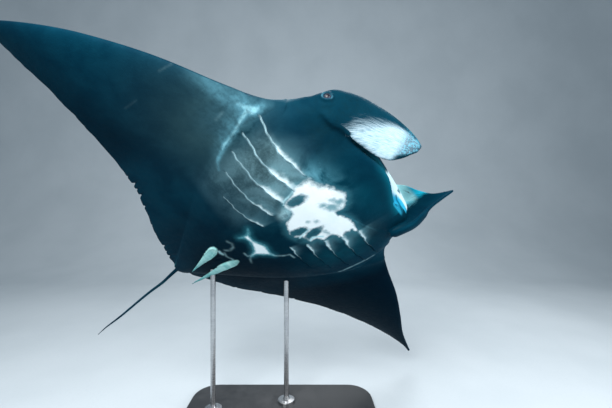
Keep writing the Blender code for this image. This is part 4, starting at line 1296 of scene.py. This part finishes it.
def skin_ground(s, tex, settings):
    """The dark ground with its painted deep shade, the throat's smoke, the gill skin's grey, the
    shoulder's paler skin with painted light, and the shoulder's streaks.
    """
    ground = s.mix(s.span(tex.tone, 0.36, 0.66), settings.ground, settings.ground_light)
    # painted shade on the lower belly and the wings
    ground = s.mix(s.math("MULTIPLY", s.field("deep_tone"), 0.90), ground, settings.shade)
    ground = s.mix(s.math("MULTIPLY", s.field("shoulder_patch"), s.span(tex.cloud, 0.3, 0.6, 0.3, 0.8)),
                   ground, (0.060, 0.120, 0.150))
    # the right shoulder's paler skin, partly painted light where it faces the light
    ground = s.mix(s.math("MULTIPLY", s.field("wash"), s.span(tex.tone, 0.34, 0.62, 0.55, 0.95)),
                   ground, (0.022, 0.058, 0.070))
    smoke = s.math("MULTIPLY", s.field("smoke"), s.span(tex.tone, 0.34, 0.62, 0.25, 1.0))
    ground = s.mix(s.math("MULTIPLY", smoke, 0.85), ground, (0.006, 0.088, 0.125))
    wisps = s.math("MULTIPLY", s.math("POWER", s.field("smoke"), 1.8), s.span(tex.cloud, 0.40, 0.66))
    ground = s.mix(s.math("MULTIPLY", wisps, 0.75), ground, (0.110, 0.320, 0.400))
    ground = s.mix(s.math("MULTIPLY", s.field("jaw_rim"), 0.55), ground, (0.003, 0.150, 0.220))
    brown = s.mix(s.span(tex.cloud, 0.40, 0.62), (0.042, 0.084, 0.094), settings.gill)
    brown = s.mix(s.span(tex.mottle, 0.40, 0.70, 0.0, 0.22), brown, (0.150, 0.270, 0.310))
    gill = s.math("MULTIPLY", s.field("gill_right"), s.span(tex.tone, 0.30, 0.58, 0.55, 1.0))
    ground = s.mix(gill, ground, brown)
    gill = s.math("MULTIPLY", s.field("gill_left"), s.span(tex.tone, 0.30, 0.60, 0.20, 0.55))
    ground = s.mix(gill, ground, (0.003, 0.070, 0.098))
    band = s.math("MULTIPLY", s.field("band"), s.span(tex.flow, 0.30, 0.62, 0.40, 1.0))
    band = s.math("MULTIPLY", band, s.span(tex.fleck, 0.32, 0.60, 0.55, 1.0))
    pale_band = s.mix(s.span(s.field("band"), 0.66, 0.96), settings.band,
                      (0.215, 0.460, 0.540))
    ground = s.mix(band, ground, pale_band)
    shade = s.math("MULTIPLY", s.field("shade"), s.span(tex.fleck, 0.30, 0.60, 0.90, 0.50))
    ground = s.mix(shade, ground, (0.0020, 0.0170, 0.0260))
    return ground


def skin_gills(s, tex, ground):
    """The gill flaps' pale rims over the ground, and the painted highlight along each slit."""
    haze = s.math("MULTIPLY", s.field("haze"), s.span(tex.cloud, 0.30, 0.60, 0.30, 0.80))
    ground = s.mix(haze, ground, (0.180, 0.380, 0.440))
    ragged = s.math("MULTIPLY", s.math("SUBTRACT", tex.fleck, 0.5), 0.8)
    flare = s.math("ADD", s.math("ADD", s.field("flare"), ragged),
                   s.math("MULTIPLY", s.math("SUBTRACT", tex.cloud, 0.5), 0.8))
    flare = s.math("MULTIPLY", s.span(flare, 0.15, 0.95), s.span(s.field("flare"), 0.05, 0.45))
    colour = s.mix(flare, ground, (0.72, 0.86, 0.89))
    # painted highlight along each slit, where the flap's edge catches the light
    colour = s.mix(s.span(s.field("slit_line"), 0.10, 0.90, 0.0, 0.85), colour,
                   (0.48, 0.72, 0.79))
    return colour


def skin_markings(s, tex, settings, colour):
    """The blaze with its mist, the star, and the veins with a painted ridge highlight over the rest."""
    smoky = s.math("MULTIPLY_ADD", s.field("smoke"), 1.4, 1.0)
    white = s.math("MULTIPLY_ADD", tex.soft, smoky, s.field("white"))
    colour = s.mix(s.span(white, -0.060, 0.004, 0.0, 0.50), colour, (0.050, 0.210, 0.265))
    edge = s.math("MULTIPLY_ADD", s.field("smoke"), -0.036, -0.0095)
    colour = s.mix(s.span(white, edge, 0.0085), colour,
                   s.mix(s.span(tex.cloud, 0.45, 0.75), settings.blaze, (0.74, 0.85, 0.88)))
    veil = s.span(s.math("MULTIPLY_ADD", tex.soft, 1.8, s.field("veil")), -0.016, 0.014, 0.0, 0.85)
    colour = s.mix(veil, colour, (0.070, 0.240, 0.290))
    star = s.math("ADD", s.field("star"), tex.soft)
    colour = s.mix(s.span(star, -0.045, 0.000, 0.0, 0.45), colour, (0.020, 0.130, 0.170))
    colour = s.mix(s.span(star, -0.012, 0.014, 0.0, 0.75), colour, (0.100, 0.360, 0.420))
    colour = s.mix(s.span(star, 0.004, 0.024), colour, (0.76, 0.87, 0.90))
    # pale veins, and the painted highlight on the left wing's ridge
    vein = s.math("MULTIPLY", s.field("vein"), s.span(tex.fleck, 0.30, 0.60, 0.45, 1.0))
    colour = s.mix(vein, colour, (0.420, 0.700, 0.760))
    return colour


def skin_fins(s, tex, settings, colour):
    """The cephalic fins' white, drawn out into streaks that fan out from the root."""
    length, breadth, _ = s.split(s.place("fin"))
    bent = s.math("MULTIPLY_ADD", s.math("MULTIPLY", length, length), -0.75,
                  s.math("MULTIPLY_ADD", length, 1.5, breadth))
    fan = s.add("CombineXYZ", length, bent, 0.0)
    rays = s.noise(s.stretch(fan, (3.0, 26.0, 0.0)), 1.6, 4.0, 0.6)
    hairs = s.noise(s.stretch(fan, (6.0, 60.0, 0.0)), 1.6, 4.0, 0.65)
    streak = s.math("MULTIPLY_ADD", s.math("SUBTRACT", rays, 0.5), 0.60,
                    s.math("MULTIPLY", s.math("SUBTRACT", hairs, 0.5), 0.85))
    fin_edge = s.math("ADD", s.field("fin_white"), streak)
    fin_white = s.mix(s.span(hairs, 0.34, 0.58), (0.17, 0.32, 0.39), settings.fin)
    # painted light: the shaded left fin's white is paler and bluer than the lit right fin's
    fin_white = s.mix(s.field("fin_left"), fin_white, (0.45, 0.95, 1.0))
    # painted light shining through the thin left fin
    fin_white = s.mix(s.field("fin_cyan"), fin_white, (0.02, 0.62, 0.86))
    colour = s.mix(s.span(fin_edge, -0.32, 0.28), colour, fin_white)
    speckled = s.mix(s.span(tex.mottle, 0.44, 0.58), (0.005, 0.040, 0.070), (0.050, 0.280, 0.390))
    colour = s.mix(s.math("MULTIPLY", s.field("fin_tip"), s.span(rays, 0.30, 0.60, 0.95, 0.60)),
                   colour, speckled)
    colour = s.mix(s.field("fin_rim"), colour, (0.002, 0.022, 0.035))
    return colour


def skin_mouth(s, tex, colour):
    """The inside of the mouth darkened as painted shade, and its blue and white left side with painted
    shade in its creases.
    """
    # painted shade: the dark inside of the open mouth
    inside = s.mix(s.span(s.math("ADD", s.field("mouth_left"), tex.soft), 0.25, 0.75),
                   (0.005, 0.080, 0.115),
                   s.mix(s.field("mouth_white"), (0.03, 0.42, 0.66), (0.66, 0.90, 0.97)))
    # painted shade in the creases at the mouth's left corner
    inside = s.mix(s.math("MULTIPLY", s.field("mouth_crease"), 0.85), inside, (0.001, 0.090, 0.150))
    colour = s.mix(s.field("mouth"), colour, inside)
    return colour


def skin_small_parts(s, tex, settings, colour):
    """The pelvic fins and the lids."""
    leaf = s.mix(s.span(tex.flow, 0.35, 0.65), (0.220, 0.520, 0.510), settings.pelvic)
    leaf = s.mix(s.field("pelvic_way"), leaf, (0.020, 0.190, 0.210))
    colour = s.mix(s.field("pelvic"), colour, leaf)
    lids = s.noise(tex.at, 42.0, 3.0)
    lids = s.math("MULTIPLY", s.field("lids"), s.span(lids, 0.36, 0.66, 0.15, 0.75))
    colour = s.mix(lids, colour, (0.055, 0.165, 0.230))
    return colour


def skin_material(settings):
    """The skin's colour from its markings and painted light and shade, layer over layer, with a dull
    and grainy finish.
    """
    s = Shader("manta_skin")
    tex = skin_textures(s)
    colour = skin_gills(s, tex, skin_ground(s, tex, settings))
    colour = skin_markings(s, tex, settings, colour)
    colour = skin_fins(s, tex, settings, colour)
    colour = skin_mouth(s, tex, colour)
    colour = skin_small_parts(s, tex, settings, colour)
    s.link(colour, "Base Color")
    s.link(s.span(tex.fleck, 0.3, 0.7, 0.46, 0.60), "Roughness")
    s.set("IOR", 1.25)
    s.set("Specular IOR Level", 0.055)
    s.set("Specular Tint", (0.20, 0.70, 1.0, 1.0))
    s.set("Sheen Weight", 0.04)
    s.set("Sheen Roughness", 0.45)
    s.set("Sheen Tint", (0.05, 0.55, 0.85, 1.0))
    relief = s.math("ADD", s.math("MULTIPLY", tex.grain, 0.35), s.math("MULTIPLY", tex.fleck, 0.65))
    s.link(s.bump(relief, 0.0022), "Normal")
    return s.material


class MANTA_OT_skin(bpy.types.Operator):
    """Makes the animal's skin"""
    bl_idname = "manta.skin"
    bl_label = "Manta skin"

    def execute(self, context):
        settings = context.scene.manta_skin
        ob = build_skin(settings)
        ob.data.materials.append(skin_material(settings))
        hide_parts(*FLESH)
        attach(ob, "root")
        return {"FINISHED"}


# ------------------------------------------------------------------ the eyes
# the ball's radius: that of the solids' eye less a gap in metres, times a share
EYE_GAP, EYE_SHARE = 0.0004, 0.96


def eye_mesh(name, side):
    """An eyeball with a raised cornea, and where each point lies on it as seen from ahead."""
    bm = bmesh.new()
    bmesh.ops.create_uvsphere(bm, u_segments=72, v_segments=48, radius=1.0)
    me = bpy.data.meshes.new(name)
    bm.to_mesh(me)
    bm.free()
    local = unit(coordinates(me))
    axis = unit(on_side(EYE_AXIS, side))
    along = unit(np.array([1.0, 0, 0]) - axis[0] * axis)
    up = np.cross(along, axis) * -side
    # the ball's pole looks along the axis
    p = local[:, :1] * along + local[:, 1:2] * up + local[:, 2:] * axis
    swollen = 1 + 0.085 * ease((local[:, 2] - 0.70) / 0.26)
    centre = pose(on_side(EYE_AT, side))[0]
    radius = EYE_RADIUS * DISC_WIDTH - EYE_GAP
    set_coordinates(me, on_stand(centre + p * swollen[:, None] * radius * EYE_SHARE))
    put(me, "gaze", local, "FLOAT_VECTOR")
    me.shade_smooth()
    return me


def eye_material(settings):
    """A nearly black pupil in an iris with light fibres, on a dull ball."""
    s = Shader("manta_eye")
    gaze = s.place("gaze")
    x, y, z = s.split(gaze)
    square = s.math("ADD", s.math("POWER", s.math("DIVIDE", x, 0.44), 2.0),
                    s.math("POWER", s.math("DIVIDE", y, 0.30), 2.0))
    fibres = s.noise(s.stretch(gaze, (6, 6, 1)), 3.0, 5.0, 0.7, 0.8)
    specks = s.noise(gaze, 22.0, 3.0)
    iris = s.mix(s.span(fibres, 0.35, 0.7), (0.016, 0.018, 0.036), settings.iris)
    ball = s.mix(s.span(specks, 0.40, 0.66), settings.white, (0.050, 0.110, 0.150))
    colour = s.mix(s.span(z, 0.62, 0.70), ball, iris)
    colour = s.mix(s.span(square, 1.25, 0.90), colour, (0.003, 0.002, 0.006))
    s.link(colour, "Base Color")
    s.link(s.span(specks, 0.2, 0.8, 0.34, 0.46), "Roughness")
    s.set("Specular IOR Level", 0.35)
    s.set("Coat Weight", 0.08)
    s.set("Coat Roughness", 0.22)
    s.link(s.bump(fibres, 0.0003), "Normal")
    return s.material


class MANTA_OT_eyes(bpy.types.Operator):
    """Makes the two eyeballs"""
    bl_idname = "manta.eyes"
    bl_label = "Manta eyes"

    def execute(self, context):
        finish = eye_material(context.scene.manta_eyes)
        for side, word in ((-1, "right"), (1, "left")):
            me = eye_mesh("eyeball_" + word, side)
            me.materials.append(finish)
            ob = new_object("eyeball_" + word, me)
            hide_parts("eye_" + word)
            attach(ob, "root")
        return {"FINISHED"}


# ------------------------------------------------------------------ the stand
def paint_material(settings):
    """Satin stand paint: fine orange peel, dust and slight handling marks."""
    s = Shader("satin_stand_paint")
    at = s.add("TexCoord", out=3)
    peel = s.noise(at, 260.0, 2.0)
    dust = s.noise(at, 9.0, 5.0, 0.65)
    specks = s.noise(at, 700.0, 1.0)
    colour = s.mix(s.span(dust, 0.40, 0.75), settings.paint, (0.034, 0.037, 0.041))
    colour = s.mix(s.math("MULTIPLY", s.span(specks, 0.72, 0.80), 0.35), colour, (0.20, 0.20, 0.19))
    s.link(colour, "Base Color")
    s.link(s.span(dust, 0.35, 0.75, 0.34, 0.50), "Roughness")
    s.link(s.bump(peel, 0.0003), "Normal")
    return s.material


def steel_material(settings):
    """Brushed rod: fine rings round the rod, with soft smudges."""
    s = Shader("brushed_rod_steel")
    at = s.add("TexCoord", out=3)
    lines = s.noise(s.stretch(at, (3.0, 3.0, 420.0)), 3.0, 3.0, 0.7)
    smudge = s.noise(at, 14.0, 4.0)
    colour = s.mix(s.span(smudge, 0.35, 0.7), settings.steel, (0.40, 0.41, 0.43))
    s.link(colour, "Base Color")
    s.set("Metallic", 1.0)
    s.link(s.span(lines, 0.3, 0.7, 0.22, 0.40), "Roughness")
    s.link(s.bump(lines, 0.00015), "Normal")
    return s.material


def refinish(nodes, material):
    """Puts one material on carried-over solids in place of theirs."""
    for node in nodes:
        slots = NODES[node].data.materials
        slots.clear()
        slots.append(material)


class MANTA_OT_stand_base(bpy.types.Operator):
    """Gives the stand's base its satin paint"""
    bl_idname = "manta.stand_base"
    bl_label = "Stand base"

    def execute(self, context):
        refinish(["stand_base"], paint_material(context.scene.manta_stand))
        return {"FINISHED"}


class MANTA_OT_stand_rods(bpy.types.Operator):
    """Gives the stand's two rods their brushed steel"""
    bl_idname = "manta.stand_rods"
    bl_label = "Stand rods"

    def execute(self, context):
        refinish(["stand_rod_front", "stand_rod_rear"], steel_material(context.scene.manta_stand))
        return {"FINISHED"}


# ------------------------------------------------------------------ the stage
# the camera's place from the animal's middle, from which it looks level along +y
CAMERA_OFFSET, SENSOR_WIDTH = (0.2627, -2.0797, 0.1121), 36.0
# each light's setting, place and size
LIGHTS = (("key", (-1.0, -3.4, 4.4), 2.6), ("side", (4.4, -1.8, 2.6), 3.0),
          ("rim", (1.0, 3.4, 4.6), 3.0))


def floor_material(settings):
    """Matt pale studio floor, very slightly worn and mottled."""
    s = Shader("pale_studio_floor")
    at = s.add("TexCoord", out=3)
    broad, fine = s.noise(at, 0.7, 4.0), s.noise(at, 55.0, 3.0)
    colour = s.mix(s.span(broad, 0.3, 0.7), settings.floor, (0.52, 0.58, 0.62))
    colour = s.mix(s.span(fine, 0.55, 0.80, 0.0, 0.25), colour, (0.40, 0.46, 0.50))
    s.link(colour, "Base Color")
    s.link(s.span(fine, 0.3, 0.7, 0.62, 0.80), "Roughness")
    s.set("Specular IOR Level", 0.2)
    s.link(s.bump(fine, 0.0006), "Normal")
    return s.material


# the floor from front to back, the radius of its turn into the wall, the wall's top and
# half the breadth, in metres
FLOOR_FRONT, FLOOR_BACK, WALL_TURN, WALL_TOP, FLOOR_SIDE = -9.0, 4.0, 3.0, 12.0, 14.0


def sweep_mesh():
    """A floor that turns up at its back into a wall, as a studio's paper roll does."""
    profile = [(FLOOR_FRONT, 0.0), (FLOOR_BACK, 0.0)]
    profile += [(FLOOR_BACK + WALL_TURN * math.sin(a), WALL_TURN - WALL_TURN * math.cos(a))
                for a in np.linspace(0, math.pi / 2, 16)[1:]]
    profile.append((FLOOR_BACK + WALL_TURN, WALL_TOP))
    verts = [(x, y, z) for y, z in profile for x in (-FLOOR_SIDE, FLOOR_SIDE)]
    faces = [(2 * i, 2 * i + 1, 2 * i + 3, 2 * i + 2) for i in range(len(profile) - 1)]
    me = new_mesh("floor", verts, faces)
    me.shade_smooth()
    return me


class MANTA_OT_stage(bpy.types.Operator):
    """Makes the floor with its backdrop, the lights and the camera"""
    bl_idname = "manta.stage"
    bl_label = "Stage, lights and camera"

    def execute(self, context):
        scene = context.scene
        settings = scene.manta_stage
        me = sweep_mesh()
        floor = new_object("floor", me)
        me.materials.append(floor_material(settings))
        cam = new_object("camera", bpy.data.cameras.new("camera"))
        cam.data.sensor_width = SENSOR_WIDTH
        cam.data.lens = settings.lens
        cam.location = Vector(BODY_AT) + Vector(CAMERA_OFFSET)
        cam.rotation_euler = (math.radians(90), 0, 0)
        scene.camera = cam
        for name, at, size in LIGHTS:
            data = bpy.data.lights.new(name, "AREA")
            data.shape, data.size, data.energy = "DISK", size, getattr(settings, name)
            light = new_object(name, data)
            light.location = at
            aim = Vector(BODY_AT) - Vector(at)
            light.rotation_euler = aim.to_track_quat("-Z", "Y").to_euler()
        scene.view_settings.view_transform = "Standard"
        world = bpy.data.worlds.new("studio")
        scene.world = world
        world.use_nodes = True
        fill = world.node_tree.nodes["Background"]
        fill.inputs["Color"].default_value = (*settings.sky, 1)
        fill.inputs["Strength"].default_value = settings.sky_strength
        return {"FINISHED"}


# ------------------------------------------------------------------ the add-on
# each group of settings with its name on the scene and the operators that use it
GROUPS = (("manta_skin", MANTA_PG_skin, (MANTA_OT_skin,)),
          ("manta_eyes", MANTA_PG_eyes, (MANTA_OT_eyes,)),
          ("manta_stand", MANTA_PG_stand, (MANTA_OT_stand_base, MANTA_OT_stand_rods)),
          ("manta_stage", MANTA_PG_stage, (MANTA_OT_stage,)))


class MANTA_PT_panel(bpy.types.Panel):
    """The pieces of the model, with their sizes and colours"""
    bl_idname = "MANTA_PT_panel"
    bl_label = "Manta model"
    bl_space_type = "VIEW_3D"
    bl_region_type = "UI"
    bl_category = "Manta"

    def draw(self, context):
        for name, group, makers in GROUPS:
            box = self.layout.box()
            for setting in group.__annotations__:
                box.prop(getattr(context.scene, name), setting)
            for maker in makers:
                box.operator(maker.bl_idname)


def register():
    for name, group, makers in GROUPS:
        for cls in (group, *makers):
            bpy.utils.register_class(cls)
        setattr(bpy.types.Scene, name, bpy.props.PointerProperty(type=group))
    bpy.utils.register_class(MANTA_PT_panel)


def unregister():
    bpy.utils.unregister_class(MANTA_PT_panel)
    for name, group, makers in reversed(GROUPS):
        delattr(bpy.types.Scene, name)
        for cls in (*makers, group):
            bpy.utils.unregister_class(cls)


def main():
    register()
    bpy.ops.manta.skin()
    bpy.ops.manta.eyes()
    bpy.ops.manta.stand_base()
    bpy.ops.manta.stand_rods()
    bpy.ops.manta.stage()


if __name__ == "__main__":
    main()
